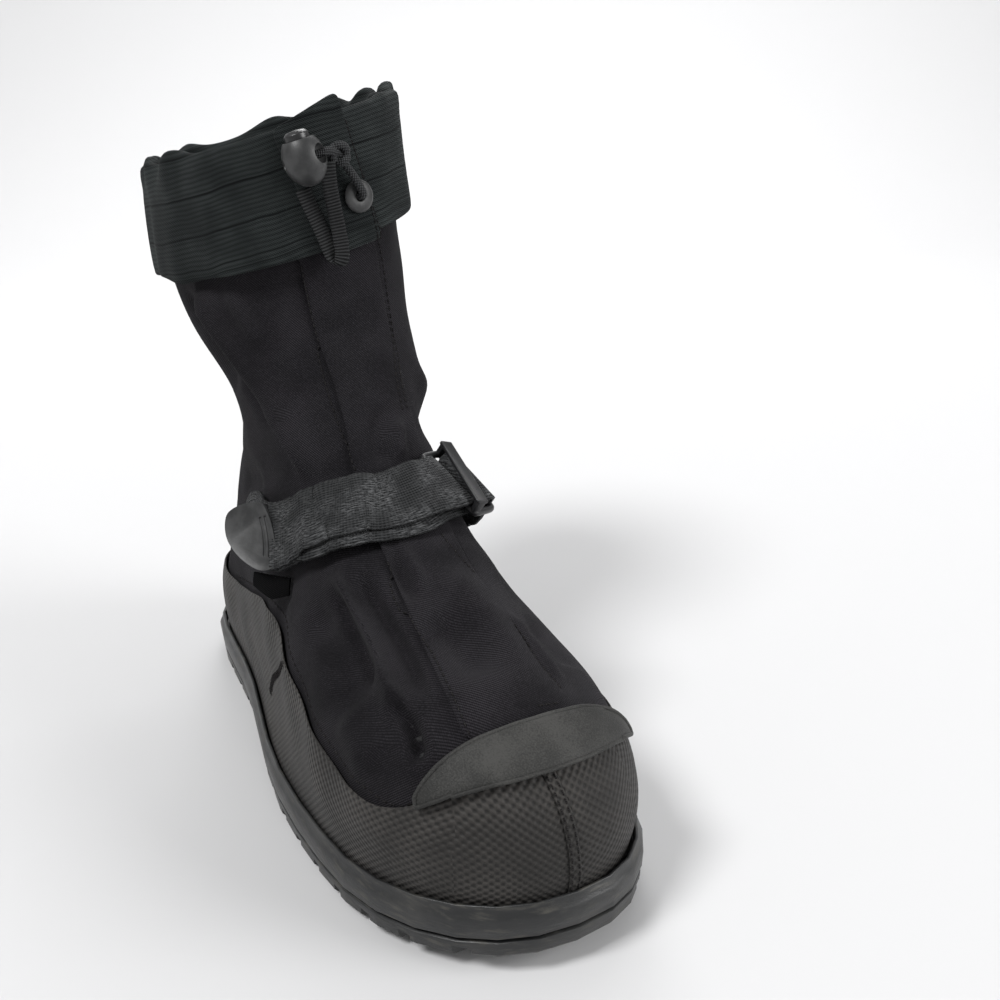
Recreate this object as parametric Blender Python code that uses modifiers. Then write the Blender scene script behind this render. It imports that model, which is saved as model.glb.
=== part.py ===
"""Right winter overshoe with a fabric shaft, a rubber sole, a front flap, an instep strap and a corded cuff.

Metres, +Z up. The toe points along -Y, the wearer's outer side is -X and the inner side is +X.
The origin is the centre of the heel's flat tread pad, on the ground.
"""

from collections import namedtuple
from math import cos, pi, radians, sin

import bmesh
import bpy
from mathutils import Matrix, Vector
from mathutils.bvhtree import BVHTree

# Sole sizes.
SOLE_LENGTH = 0.325
HEEL_BACK = 0.045
BALL_WIDTH = 0.123
WAIST_WIDTH = 0.090
HEEL_WIDTH = 0.088
TOE_SWING = 0.0088
TOE_SPRING = 0.010
ARCH_RISE = 0.005
OUTSOLE_BAND = 0.0075
MIDSOLE_BAND = 0.0100
LIP_HEIGHT = 0.0043
LIP_WALL = 0.0016
LIP_INSET = 0.0014
TREAD_DEPTH = 0.0040
TREAD_GROOVE = 0.0050
TREAD_PITCH = 0.0190

# Upper sizes. Heights are above the ground.
UPPER_WALL = 0.0016
RAND_WALL = 0.0012
TOE_HEIGHT = 0.082
VAMP_HEIGHT = 0.112
INSTEP_HEIGHT = 0.158
SHAFT_HEIGHT = 0.277
SHAFT_DEPTH = 0.128
SHAFT_WIDTH = 0.104
COLLAR_BACK = 0.048
ANKLE_DEPTH = 0.118
ANKLE_WIDTH = 0.086
INSOLE_WALL = 0.0030

# Overlay and trim sizes.
GAP = 0.0003
SKIN_GAP = 0.0006
LIP_GAP = 0.0009
RAND_GAP = 0.0010
PATCH_WALL = 0.0022
FLAP_WALL = 0.0014
CUFF_WALL = 0.0018
CUFF_DROP = 0.052
CUFF_DROP_BACK = 0.043
CUFF_HOOK = 0.014
CUFF_FLARE = 0.0022
TAB_WALL = 0.0020
TAB_RISE = 0.010
LABEL_WALL = 0.0012

# Strap, buckle and pull tab sizes.
STRAP_WIDTH = 0.029
STRAP_WALL = 0.0018
STRAP_TOP = 0.129
BUCKLE_WIRE = 0.0036
BUCKLE_SLOT = 0.0095
PULL_TAB_LENGTH = 0.036
PULL_TAB_WALL = 0.0044
PULL_TAB_POCKET = 0.011
PULL_TAB_EDGE = 0.0012

# Cord and cord lock sizes.
LOCK_RADIUS = 0.0088
LOCK_LENGTH = 0.0220
PLUNGER_RADIUS = 0.0042
PLUNGER_HEAD = 0.0052
PLUNGER_TRAVEL = 0.0030
PLUNGER_CLEARANCE = 0.0003
DISC_RADIUS = 0.0070
DISC_WALL = 0.0018
CORD_RADIUS = 0.0016
KNOT_RADIUS = 0.0042
LOOP_WEBBING = 0.0062
LOOP_WALL = 0.0011
PULL_LOOP_WIDTH = 0.025
PULL_LOOP_HEIGHT = 0.029
PULL_LOOP_REACH = 0.010

# Mesh fineness.
RING_SIDES = 48
RING_COUNT = 20
SOLE_STATIONS = 21

# Heights that the sizes above give.
GROOVE_Z = OUTSOLE_BAND
RIDGE_Z = OUTSOLE_BAND + MIDSOLE_BAND
SEAT_Z = RIDGE_Z - 0.002
FEATHER_Z = SEAT_Z + GAP
LIP_Z = RIDGE_Z + LIP_HEIGHT
LIP_SHARE = 1 / 20
TOE_Y = HEEL_BACK - SOLE_LENGTH


def remove_all_objects():
    for thing in list(bpy.data.objects):
        bpy.data.objects.remove(thing, do_unlink=True)


def collection(name):
    made = bpy.data.collections.new(name)
    bpy.context.scene.collection.children.link(made)
    return made


def material(name, colour, roughness, metallic=0.0):
    made = bpy.data.materials.new(name)
    made.use_nodes = True
    shader = made.node_tree.nodes["Principled BSDF"]
    shader.inputs["Base Color"].default_value = (*colour, 1.0)
    shader.inputs["Roughness"].default_value = roughness
    shader.inputs["Metallic"].default_value = metallic
    return made


def new_object(name, points, faces, finish, smooth=True):
    mesh = bpy.data.meshes.new(name)
    mesh.from_pydata([tuple(p) for p in points], [], faces)
    mesh.materials.append(finish)
    shell = bmesh.new()
    shell.from_mesh(mesh)
    bmesh.ops.recalc_face_normals(shell, faces=shell.faces)
    shell.to_mesh(mesh)
    shell.free()
    if smooth:
        mesh.shade_smooth()
    made = bpy.data.objects.new(name, mesh)
    PARTS.objects.link(made)
    return made


def mix(a, b, share):
    return a + (b - a) * share


def through(stations, x):
    """A smooth value at x, through (station, value) pairs."""
    last = len(stations) - 1
    k = 0
    while k < last - 1 and x > stations[k + 1][0]:
        k += 1
    x1, y1 = stations[k]
    x2, y2 = stations[k + 1]
    x0, y0 = stations[max(k - 1, 0)]
    x3, y3 = stations[min(k + 2, last)]
    share = min(1.0, max(0.0, (x - x1) / (x2 - x1)))
    slope1 = (y2 - y0) / (x2 - x0) * (x2 - x1)
    slope2 = (y3 - y1) / (x3 - x1) * (x2 - x1)
    a = share * share
    b = a * share
    return (2 * b - 3 * a + 1) * y1 + (b - 2 * a + share) * slope1 + (3 * a - 2 * b) * y2 + (b - a) * slope2


# The sole's plan, as shares of its length from the toe, and its half widths.
SoleStation = namedtuple("SoleStation", "share outer inner")
SOLE_PLAN = (
    SoleStation(0.00, 0.45 * BALL_WIDTH, 0.45 * BALL_WIDTH),
    SoleStation(0.28, 0.50 * BALL_WIDTH, 0.50 * BALL_WIDTH),
    SoleStation(0.45, 0.49 * BALL_WIDTH, 0.44 * BALL_WIDTH),
    SoleStation(0.68, 0.53 * WAIST_WIDTH, 0.47 * WAIST_WIDTH),
    SoleStation(0.86, 0.50 * HEEL_WIDTH, 0.50 * HEEL_WIDTH),
    SoleStation(1.00, 0.46 * HEEL_WIDTH, 0.46 * HEEL_WIDTH),
)
TOE_ROUND = 0.24
HEEL_ROUND = 0.14
OUTER, INNER = -1, 1


def end_round(share, front, back, power=2.25):
    """The share of the full width left at a share of the length, with a round front and back."""
    if share < front:
        return max(0.0, 1 - ((front - share) / front) ** power) ** (1 / power)
    if share > 1 - back:
        return max(0.0, 1 - ((share - 1 + back) / back) ** power) ** (1 / power)
    return 1.0


def swing(y):
    """How far the middle line of the foot turns inwards on its way to the toe."""
    share = (y - TOE_Y) / SOLE_LENGTH
    return TOE_SWING * max(0.0, (0.75 - share) / 0.75) ** 2


def ground_lift(y):
    """Height of the sole's tread over the ground: the arch, and the spring at the toe."""
    share = (y - TOE_Y) / SOLE_LENGTH
    spring = TOE_SPRING * max(0.0, (0.34 - share) / 0.34) ** 2
    arch = ARCH_RISE * max(0.0, 1 - ((share - 0.60) / 0.13) ** 2) if 0.47 < share < 0.73 else 0.0
    return spring + arch


def side_lift(y):
    """Toe spring alone, which the upper sides of the sole follow."""
    share = (y - TOE_Y) / SOLE_LENGTH
    return TOE_SPRING * max(0.0, (0.34 - share) / 0.34) ** 2


def sole_rim(side, share, inset):
    """A point of the sole's plan on one side, pulled in from the edge by inset."""
    y = mix(TOE_Y + inset, HEEL_BACK - inset, share)
    column = 1 if side == OUTER else 2
    half = through([(row[0], row[column]) for row in SOLE_PLAN], share) - inset
    return Vector((swing(y) + side * half * end_round(share, TOE_ROUND, HEEL_ROUND), y, 0))


def sole_shares():
    return [(1 - cos(pi * k / (SOLE_STATIONS - 1))) / 2 for k in range(SOLE_STATIONS)]


def sole_layers(name, layers, finish):
    """A solid with the sole's plan. A layer is (inset, height, what lifts it), from the bottom face up."""
    points, faces = [], []
    shares = sole_shares()
    last = SOLE_STATIONS - 1
    round_count = 2 * last
    for inset, height, lift in layers:
        outer = [sole_rim(OUTER, share, inset) for share in shares]
        inner = [sole_rim(INNER, share, inset) for share in shares[-2:0:-1]]
        for p in outer + inner:
            p.z = height + lift(p.y)
            points.append(p)
    for layer in range(len(layers) - 1):
        low = layer * round_count
        for k in range(round_count):
            after = (k + 1) % round_count
            faces.append((low + k, low + after, low + round_count + after, low + round_count + k))
    for low in (0, (len(layers) - 1) * round_count):
        faces.append((low, low + 1, low + round_count - 1))
        for k in range(1, last - 1):
            faces.append((low + k, low + k + 1, low + round_count - k - 1, low + round_count - k))
        faces.append((low + last - 1, low + last, low + last + 1))
    return new_object(name, points, faces, finish)


def cut(target, cutter):
    """Takes the cutter out of the target, and keeps the cutter as a hidden helper."""
    hide_helper(cutter)
    step = target.modifiers.new("cut", "BOOLEAN")
    step.operation = "DIFFERENCE"
    step.object = cutter


def hide_helper(helper):
    for home in helper.users_collection:
        home.objects.unlink(helper)
    CUTTERS.objects.link(helper)
    helper.hide_render = True
    helper.display_type = "WIRE"


def box(name, low, high, finish):
    """A box between two corners, as its own object."""
    shape = bmesh.new()
    bmesh.ops.create_cube(shape, size=1.0)
    size = Vector(high) - Vector(low)
    bmesh.ops.scale(shape, vec=size, verts=shape.verts)
    bmesh.ops.translate(shape, vec=(Vector(low) + Vector(high)) / 2, verts=shape.verts)
    mesh = bpy.data.meshes.new(name)
    shape.to_mesh(mesh)
    shape.free()
    mesh.materials.append(finish)
    made = bpy.data.objects.new(name, mesh)
    PARTS.objects.link(made)
    return made


def join_pieces(name, pieces, finish):
    """One cutter mesh from several boxes that don't meet."""
    shape = bmesh.new()
    for piece in pieces:
        shape.from_mesh(piece.data)
    mesh = bpy.data.meshes.new(name)
    shape.to_mesh(mesh)
    shape.free()
    mesh.materials.append(finish)
    for piece in pieces:
        bpy.data.objects.remove(piece, do_unlink=True)
    made = bpy.data.objects.new(name, mesh)
    PARTS.objects.link(made)
    return made


def make_outsole():
    outsole = sole_layers(
        "outsole",
        (
            (0.0022, 0.0, ground_lift),
            (0.0010, 0.0014, ground_lift),
            (0.0008, GROOVE_Z - 0.0010, side_lift),
            (0.0020, GROOVE_Z - GAP, side_lift),
        ),
        SOLE_RUBBER,
    )
    grooves = []
    reach = BALL_WIDTH
    heel_front = -0.5 * TREAD_PITCH - 0.5 * TREAD_GROOVE - 0.0010
    y = heel_front
    number = 0
    while y > TOE_Y + TREAD_PITCH:
        top = ground_lift(y - TREAD_GROOVE / 2) + TREAD_DEPTH
        low = (-reach, y - TREAD_GROOVE, -0.01)
        high = (reach, y, min(top, GROOVE_Z - 0.0015 + side_lift(y)))
        grooves.append(box(f"groove_{number}", low, high, SOLE_RUBBER))
        y -= TREAD_PITCH
        number += 1
    cut(outsole, join_pieces("tread_grooves", grooves, SOLE_RUBBER))
    return outsole


def make_midsole():
    return sole_layers(
        "midsole",
        (
            (0.0022, GROOVE_Z, side_lift),
            (0.0004, GROOVE_Z + 0.0012, side_lift),
            (0.0000, RIDGE_Z - 0.0020, side_lift),
            (0.0006, RIDGE_Z, side_lift),
            (LIP_INSET, RIDGE_Z + 0.0010, side_lift),
            (LIP_INSET + 0.0004, LIP_Z, side_lift),
            (LIP_INSET + LIP_WALL, LIP_Z, side_lift),
            (LIP_INSET + LIP_WALL, SEAT_Z, side_lift),
        ),
        SOLE_RUBBER,
    )


# The upper's hoops, from the sole's lip up to the collar. Front and back are the hoop's ends in side view.
# The half widths are taken at 0.28, 0.58 and 0.85 of the hoop's depth from its front. Sway moves a hoop
# inwards, and roll is how much it climbs towards the inner side.
Hoop = namedtuple("Hoop", "front_y front_z back_y back_z fore middle rear front_round back_round sway roll")
UPPER_INSET = LIP_INSET + LIP_WALL + LIP_GAP + RAND_WALL + RAND_GAP
FRONT_Y = TOE_Y + UPPER_INSET
BACK_Y = HEEL_BACK - UPPER_INSET
ANKLE_BACK = COLLAR_BACK - 0.020
SHAFT_BACK = COLLAR_BACK - 0.008
HOOPS = (
    Hoop(FRONT_Y, LIP_Z + TOE_SPRING, BACK_Y, LIP_Z,
         0.46 * BALL_WIDTH, 0.47 * WAIST_WIDTH, 0.45 * HEEL_WIDTH, 0.24, 0.14, 0.0, 0.0),
    Hoop(FRONT_Y - 0.001, 0.52 * TOE_HEIGHT, BACK_Y, 0.50 * TOE_HEIGHT,
         0.47 * BALL_WIDTH, 0.50 * WAIST_WIDTH, 0.46 * HEEL_WIDTH, 0.25, 0.15, 0.0, 0.0),
    Hoop(FRONT_Y + 0.006, 0.80 * TOE_HEIGHT, BACK_Y - 0.005, 0.75 * TOE_HEIGHT,
         0.44 * BALL_WIDTH, 0.49 * WAIST_WIDTH, 0.43 * HEEL_WIDTH, 0.26, 0.18, 0.0, 0.0),
    Hoop(FRONT_Y + 0.024, 1.00 * TOE_HEIGHT, BACK_Y - 0.011, 1.00 * TOE_HEIGHT,
         0.38 * BALL_WIDTH, 0.46 * WAIST_WIDTH, 0.41 * HEEL_WIDTH, 0.30, 0.24, 0.0, 0.0),
    Hoop(FRONT_Y + 0.056, 0.86 * VAMP_HEIGHT, BACK_Y - 0.018, 1.20 * TOE_HEIGHT,
         0.31 * BALL_WIDTH, 0.43 * WAIST_WIDTH, 0.40 * HEEL_WIDTH, 0.34, 0.30, 0.0, 0.0),
    Hoop(FRONT_Y + 0.098, 1.00 * VAMP_HEIGHT, BACK_Y - 0.026, 1.40 * TOE_HEIGHT,
         0.30 * BALL_WIDTH, 0.43 * ANKLE_WIDTH, 0.41 * ANKLE_WIDTH, 0.38, 0.36, 0.002, 0.0),
    Hoop(FRONT_Y + 0.142, 0.84 * INSTEP_HEIGHT, BACK_Y - 0.034, 0.84 * INSTEP_HEIGHT,
         0.43 * ANKLE_WIDTH, 0.44 * ANKLE_WIDTH, 0.40 * ANKLE_WIDTH, 0.44, 0.44, 0.004, 0.02),
    Hoop(FRONT_Y + 0.165, 1.02 * INSTEP_HEIGHT, BACK_Y - 0.041, 1.00 * INSTEP_HEIGHT,
         0.46 * ANKLE_WIDTH, 0.46 * ANKLE_WIDTH, 0.42 * ANKLE_WIDTH, 0.48, 0.48, 0.005, 0.05),
    Hoop(ANKLE_BACK - 0.98 * ANKLE_DEPTH, 0.70 * SHAFT_HEIGHT, ANKLE_BACK, 0.69 * SHAFT_HEIGHT,
         0.46 * SHAFT_WIDTH, 0.47 * SHAFT_WIDTH, 0.45 * SHAFT_WIDTH, 0.50, 0.48, 0.003, 0.10),
    Hoop(SHAFT_BACK - 0.97 * SHAFT_DEPTH, 0.84 * SHAFT_HEIGHT, SHAFT_BACK, 0.81 * SHAFT_HEIGHT,
         0.49 * SHAFT_WIDTH, 0.50 * SHAFT_WIDTH, 0.48 * SHAFT_WIDTH, 0.50, 0.50, 0.0, 0.18),
    Hoop(COLLAR_BACK - SHAFT_DEPTH, 1.00 * SHAFT_HEIGHT, COLLAR_BACK, 0.94 * SHAFT_HEIGHT,
         0.50 * SHAFT_WIDTH, 0.50 * SHAFT_WIDTH, 0.50 * SHAFT_WIDTH, 0.50, 0.50, 0.0, 0.25),
)


def hoop_at(v):
    """The hoop at a share of the way from the sole seam to the collar."""
    x = v * (len(HOOPS) - 1)
    return Hoop(*(through([(k, row[c]) for k, row in enumerate(HOOPS)], x) for c in range(len(Hoop._fields))))


def side_of_hoop(hoop, side, sole_share, sole_height):
    """Evenly spaced points from the hoop's front to its back. Sole share is how far it keeps to the sole."""
    dense = []
    count = 120
    for k in range(count + 1):
        share = (1 - cos(pi * k / count)) / 2
        y = mix(hoop.front_y, hoop.back_y, share)
        half = through(((0.0, 0.96 * hoop.fore), (0.28, hoop.fore), (0.58, hoop.middle), (0.85, hoop.rear),
                        (1.0, 0.97 * hoop.rear)), share)
        half *= end_round(share, hoop.front_round, hoop.back_round, 2.2)
        climb = hoop.roll * side * half
        free = Vector((swing(y) + hoop.sway + side * half, y, mix(hoop.front_z, hoop.back_z, share) + climb))
        held = sole_rim(side, share, UPPER_INSET)
        held.z = sole_height + side_lift(held.y)
        dense.append(free.lerp(held, sole_share))
    return even(dense, RING_SIDES // 2)


def even(dense, count):
    """The same line, with count equal steps."""
    lengths = [0.0]
    for a, b in zip(dense, dense[1:]):
        lengths.append(lengths[-1] + (b - a).length)
    out = []
    k = 0
    for n in range(count + 1):
        at = lengths[-1] * n / count
        while k < len(dense) - 2 and lengths[k + 1] < at:
            k += 1
        out.append(dense[k].lerp(dense[k + 1], (at - lengths[k]) / max(lengths[k + 1] - lengths[k], 1e-9)))
    return out


def last_ring(v):
    """One ring of the last: the front, the outer side, the back, the inner side."""
    if v < LIP_SHARE:
        hoop = hoop_at(0.0)
        sole_share, sole_height = 1.0, mix(FEATHER_Z, LIP_Z, v / LIP_SHARE)
    else:
        free_share = (v - LIP_SHARE) / (1 - LIP_SHARE)
        hoop = hoop_at(free_share)
        left = max(0.0, 1 - free_share * (len(HOOPS) - 1))
        sole_share, sole_height = left * left * (3 - 2 * left), LIP_Z
    outer = side_of_hoop(hoop, OUTER, sole_share, sole_height)
    inner = side_of_hoop(hoop, INNER, sole_share, sole_height)
    return outer + inner[-2:0:-1]


RINGS = [last_ring(k / RING_COUNT) for k in range(RING_COUNT + 1)]


def last_point(u, v):
    """A point of the last: u runs from the front round the outer side, v from the sole seam to the collar."""
    across = (u % 1.0) * RING_SIDES
    up = min(max(v, 0.0), 1.0) * (len(RINGS) - 1)
    k, j = int(across), min(int(up), len(RINGS) - 2)
    near, far = k % RING_SIDES, (k + 1) % RING_SIDES
    low = RINGS[j][near].lerp(RINGS[j][far], across - k)
    high = RINGS[j + 1][near].lerp(RINGS[j + 1][far], across - k)
    return low.lerp(high, up - j)


def last_normal(u, v):
    du = last_point(u + 0.006, v) - last_point(u - 0.006, v)
    dv = last_point(u, min(v + 0.01, 1.0)) - last_point(u, max(v - 0.01, 0.0))
    return dv.cross(du).normalized()


def skin(u, v, lift=0.0):
    """A point lifted off the last. Past the collar it goes straight up."""
    over = max(0.0, v - 1.0) * SHAFT_HEIGHT
    point = last_point(u, v) + last_normal(u, v) * lift
    point.z += over
    return point


def grid_object(name, rows, finish, closed=False):
    """A sheet through rows of points. A closed sheet's rows are rings."""
    points = [p for row in rows for p in row]
    wide = len(rows[0])
    faces = []
    for j in range(len(rows) - 1):
        for k in range(wide if closed else wide - 1):
            after = (k + 1) % wide
            faces.append((j * wide + k, j * wide + after, (j + 1) * wide + after, (j + 1) * wide + k))
    mesh = bpy.data.meshes.new(name)
    mesh.from_pydata([tuple(p) for p in points], [], faces)
    mesh.materials.append(finish)
    mesh.shade_smooth()
    made = bpy.data.objects.new(name, mesh)
    PARTS.objects.link(made)
    return made


def thicken(sheet, wall, outward):
    """Gives a sheet its wall, on the side that outward says: 1 out of the shoe, -1 into it."""
    step = sheet.modifiers.new("wall", "SOLIDIFY")
    step.thickness = wall
    step.offset = outward
    step.use_even_offset = True
    return sheet


def make_upper():
    sheet = grid_object("upper", [row[::-1] for row in RINGS], UPPER_CLOTH, closed=True)
    return thicken(sheet, UPPER_WALL, -1)


def step_up(u, start, reached):
    """The first share up the last, from start, whose point passes the test."""
    v = start
    while v < 1.0 and not reached(last_point(u, v)):
        v += 0.004
    return v


# Height of the rand's upper edge along the shoe from the toe, as shares of the toe height.
RandPoint = namedtuple("RandPoint", "share height")
RAND_LINE = (
    RandPoint(0.00, 0.98),
    RandPoint(0.06, 0.95),
    RandPoint(0.10, 0.78),
    RandPoint(0.13, 0.69),
    RandPoint(0.17, 0.67),
    RandPoint(0.27, 0.73),
    RandPoint(0.36, 0.79),
    RandPoint(0.44, 0.86),
    RandPoint(0.50, 0.94),
    RandPoint(0.60, 0.90),
    RandPoint(0.78, 0.70),
    RandPoint(1.00, 0.61),
)


def rand_top(u):
    """How far up the last the rand reaches at u."""
    return step_up(u, 0.02, lambda p: p.z >= TOE_HEIGHT * through(RAND_LINE, (p.y - TOE_Y) / SOLE_LENGTH))


def make_rand():
    """Its rows keep to the upper's rings as far as they can, so that the two walls stay apart."""
    rows = [[] for _ in range(7)]
    for k in range(RING_SIDES):
        u = k / RING_SIDES
        top = rand_top(u)
        low = 3 / RING_COUNT
        middle = min(4 / RING_COUNT, mix(low, top, 0.5))
        upper = min(5 / RING_COUNT, mix(middle, top, 0.5))
        for row, v in zip(rows, (0.004, 1 / RING_COUNT, 2 / RING_COUNT, low, middle, upper, top)):
            row.append(skin(u, v, RAND_GAP))
    return thicken(grid_object("rand", [row[::-1] for row in rows], RAND_CLOTH, closed=True), RAND_WALL, 1)


def make_insole():
    inset = UPPER_INSET + UPPER_WALL + SKIN_GAP + GAP
    low = SEAT_Z + GAP
    return sole_layers(
        "insole",
        ((inset, low, side_lift), (inset, low + INSOLE_WALL, side_lift)),
        INSOLE_FELT,
    )


# The toe patch is a crescent over the top of the toe. Its tips, middle and edges are shares up the last.
PATCH_REACH = 0.074
PATCH_TIPS = 0.226
PATCH_UPPER = 0.342
PATCH_LOWER = 0.274
PATCH_LIFT = RAND_GAP + RAND_WALL + SKIN_GAP
PATCH_COLUMNS = 14


def make_toe_patch():
    rows = []
    for j in range(5):
        row = []
        for k in range(PATCH_COLUMNS + 1):
            across = mix(-1.0, 1.0, k / PATCH_COLUMNS)
            bow = max(0.0, 1 - across * across)
            low = mix(PATCH_TIPS - 0.004, PATCH_LOWER, bow)
            high = mix(PATCH_TIPS + 0.006, PATCH_UPPER, bow ** 0.75)
            row.append(skin(across * PATCH_REACH, mix(low, high, j / 4), PATCH_LIFT))
        rows.append(row)
    return thicken(grid_object("toe_patch", rows, PATCH_RUBBER), PATCH_WALL, -1)


# The front flap's two edges, round and up the last. The outer edge is sewn down, the inner edge is free.
FlapRow = namedtuple("FlapRow", "up outer inner")
FLAP_ROWS = (
    FlapRow(0.325, 0.040, -0.034),
    FlapRow(0.450, 0.041, -0.034),
    FlapRow(0.550, 0.040, -0.042),
    FlapRow(0.630, 0.044, -0.064),
    FlapRow(0.770, 0.036, -0.074),
    FlapRow(0.910, 0.036, -0.062),
)


def make_front_flap():
    rows = []
    foot, head = FLAP_ROWS[0].up, FLAP_ROWS[-1].up
    half_rings = [j / (2 * RING_COUNT) for j in range(2 * RING_COUNT)]
    levels = [foot] + [v for v in half_rings if foot < v < head] + [head]
    for v in levels:
        outer = through([(row.up, row.outer) for row in FLAP_ROWS], v)
        inner = through([(row.up, row.inner) for row in FLAP_ROWS], v)
        rows.append([skin(mix(inner, outer, k / 6), v, SKIN_GAP) for k in range(7)])
    return thicken(grid_object("front_flap", rows, UPPER_CLOTH), FLAP_WALL, -1)


CUFF_LIFT = SKIN_GAP + FLAP_WALL + SKIN_GAP
GATHERS = 11


def below_collar(u, drop, lift):
    """A point at a drop under the collar, lifted off the last. A drop under zero is above the collar."""
    top = last_point(u, 1.0)
    if drop <= 0:
        point = top + last_normal(u, 1.0) * lift
        point.z -= drop
        return point
    step = (top - last_point(u, 0.9)).length / 0.1
    return skin(u, 1.0 - drop / step, lift)


def cuff_drop(u):
    """How far under the collar the cuff's hem lies: lowest at the front."""
    return mix(CUFF_DROP, CUFF_DROP_BACK, 0.5 - 0.5 * cos(2 * pi * u))


def cuff_lift(u, drop):
    """How far the cuff's inner face stands off the last. It flares and gathers towards its hem."""
    share = max(0.0, drop / cuff_drop(u))
    plain = min(1.0, abs((u + 0.5) % 1.0 - 0.5) / 0.10)
    gather = 0.5 + 0.5 * sin(2 * pi * GATHERS * u)
    return CUFF_LIFT + CUFF_FLARE * share * share * (0.45 + 0.55 * plain * gather)


def make_cuff():
    inside = -(UPPER_WALL + SKIN_GAP)
    loops = []
    for k in range(RING_SIDES):
        u = k / RING_SIDES
        hem = cuff_drop(u)
        rim_face, middle_face, hem_face = (cuff_lift(u, drop) for drop in (0, 0.5 * hem, hem))
        loops.append([
            below_collar(u, CUFF_HOOK, inside),
            below_collar(u, -SKIN_GAP, inside),
            below_collar(u, -SKIN_GAP, rim_face),
            below_collar(u, 0.5 * hem, middle_face),
            below_collar(u, hem, hem_face),
            below_collar(u, hem, hem_face + CUFF_WALL),
            below_collar(u, 0.5 * hem, middle_face + CUFF_WALL),
            below_collar(u, -SKIN_GAP, rim_face + CUFF_WALL),
            below_collar(u, -SKIN_GAP - CUFF_WALL, 0.5 * rim_face),
            below_collar(u, -SKIN_GAP, inside - CUFF_WALL),
            below_collar(u, CUFF_HOOK, inside - CUFF_WALL),
        ])
    return ring_solid("cuff", loops, CUFF_KNIT)


def ring_solid(name, loops, finish):
    """A ring whose sections are closed loops of points, such as a hooked hem."""
    deep = len(loops[0])
    points = [p for loop in loops for p in loop]
    faces = []
    for j in range(len(loops)):
        after = (j + 1) % len(loops)
        for k in range(deep):
            beside = (k + 1) % deep
            faces.append((j * deep + k, j * deep + beside, after * deep + beside, after * deep + k))
    return new_object(name, points, faces, finish)


# The tab's edges over the cuff: at the collar and at the hem, round the last.
TAB_OUTER_TOP, TAB_OUTER_HEM = 0.048, 0.004
TAB_INNER_TOP, TAB_INNER_HEM = -0.022, -0.062


def tab_face(u, drop):
    """Lift of the tab's outer face."""
    return cuff_lift(u, drop) + CUFF_WALL + SKIN_GAP + TAB_WALL


def make_cuff_tab():
    rows = []
    for j in range(9):
        share = j / 8
        row = []
        for k in range(6):
            across = k / 5
            inner = mix(TAB_INNER_HEM, TAB_INNER_TOP, share)
            outer = mix(TAB_OUTER_HEM, TAB_OUTER_TOP, share)
            u = mix(inner, outer, across)
            rise = mix(TAB_RISE, 0.2 * TAB_RISE, across)
            drop = mix(CUFF_DROP + 0.002, -rise, share)
            row.append(below_collar(u, drop, tab_face(u, drop)))
        rows.append(row)
    return thicken(grid_object("cuff_tab", rows, UPPER_CLOTH), TAB_WALL, 1)


Frame = namedtuple("Frame", "place along across out")


def last_tree():
    """The upper's outer faces, to rest flat pieces on."""
    points = [point for ring in RINGS for point in ring]
    faces = []
    for j in range(RING_COUNT):
        for k in range(RING_SIDES):
            after = (k + 1) % RING_SIDES
            faces.append((j * RING_SIDES + k, j * RING_SIDES + after,
                          (j + 1) * RING_SIDES + after, (j + 1) * RING_SIDES + k))
    return BVHTree.FromPolygons(points, faces)


def stand_off(tree, place, across, out, width):
    """How far a flat strip has to stand off a place of the last to clear it over its whole width."""
    most = 0.0
    reach = 0.04
    for share in (-0.5, -0.25, 0.0, 0.25, 0.5):
        start = place + across * (share * width) + out * reach
        distance = tree.ray_cast(start, -out)[3]
        if distance is not None:
            most = max(most, reach - distance)
    return most


# The strap lies in a plane over the instep, which falls towards the heel and rises to the inner side.
STRAP_FALL = 0.41
STRAP_RISE = -0.02
STRAP_FRONT_Y = -0.145
STRAP_OUTER_END = 0.315
STRAP_INNER_END = -0.300
STRAP_STEPS = 40
BASE_LIFT = SKIN_GAP + FLAP_WALL + SKIN_GAP


def over_strap_line(p):
    return p.z >= STRAP_TOP - STRAP_FALL * (p.y - STRAP_FRONT_Y) + STRAP_RISE * p.x


def strap_frames():
    """Frames along the strap's line, from its outer end round the front to its inner end."""
    tree = last_tree()
    places = []
    for k in range(STRAP_STEPS + 1):
        u = mix(STRAP_OUTER_END, STRAP_INNER_END, k / STRAP_STEPS)
        v = step_up(u, 0.25, over_strap_line)
        places.append((last_point(u, v), last_normal(u, v)))
    frames = []
    for k, (place, out) in enumerate(places):
        along = (places[min(k + 1, STRAP_STEPS)][0] - places[max(k - 1, 0)][0]).normalized()
        across = out.cross(along).normalized()
        out = along.cross(across).normalized()
        frames.append(Frame(place, along, across, out))
    heights = [stand_off(tree, f.place, f.across, f.out, STRAP_WIDTH) for f in frames]
    eased = []
    for k in range(len(heights)):
        near = heights[max(k - 2, 0):k + 3]
        eased.append(0.5 * max(near) + 0.5 * sum(near) / len(near))
    spare = max(max(0.0, h - e) for h, e in zip(heights, eased))
    return [f._replace(place=f.place + f.out * (e + spare)) for f, e in zip(frames, eased)]


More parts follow.
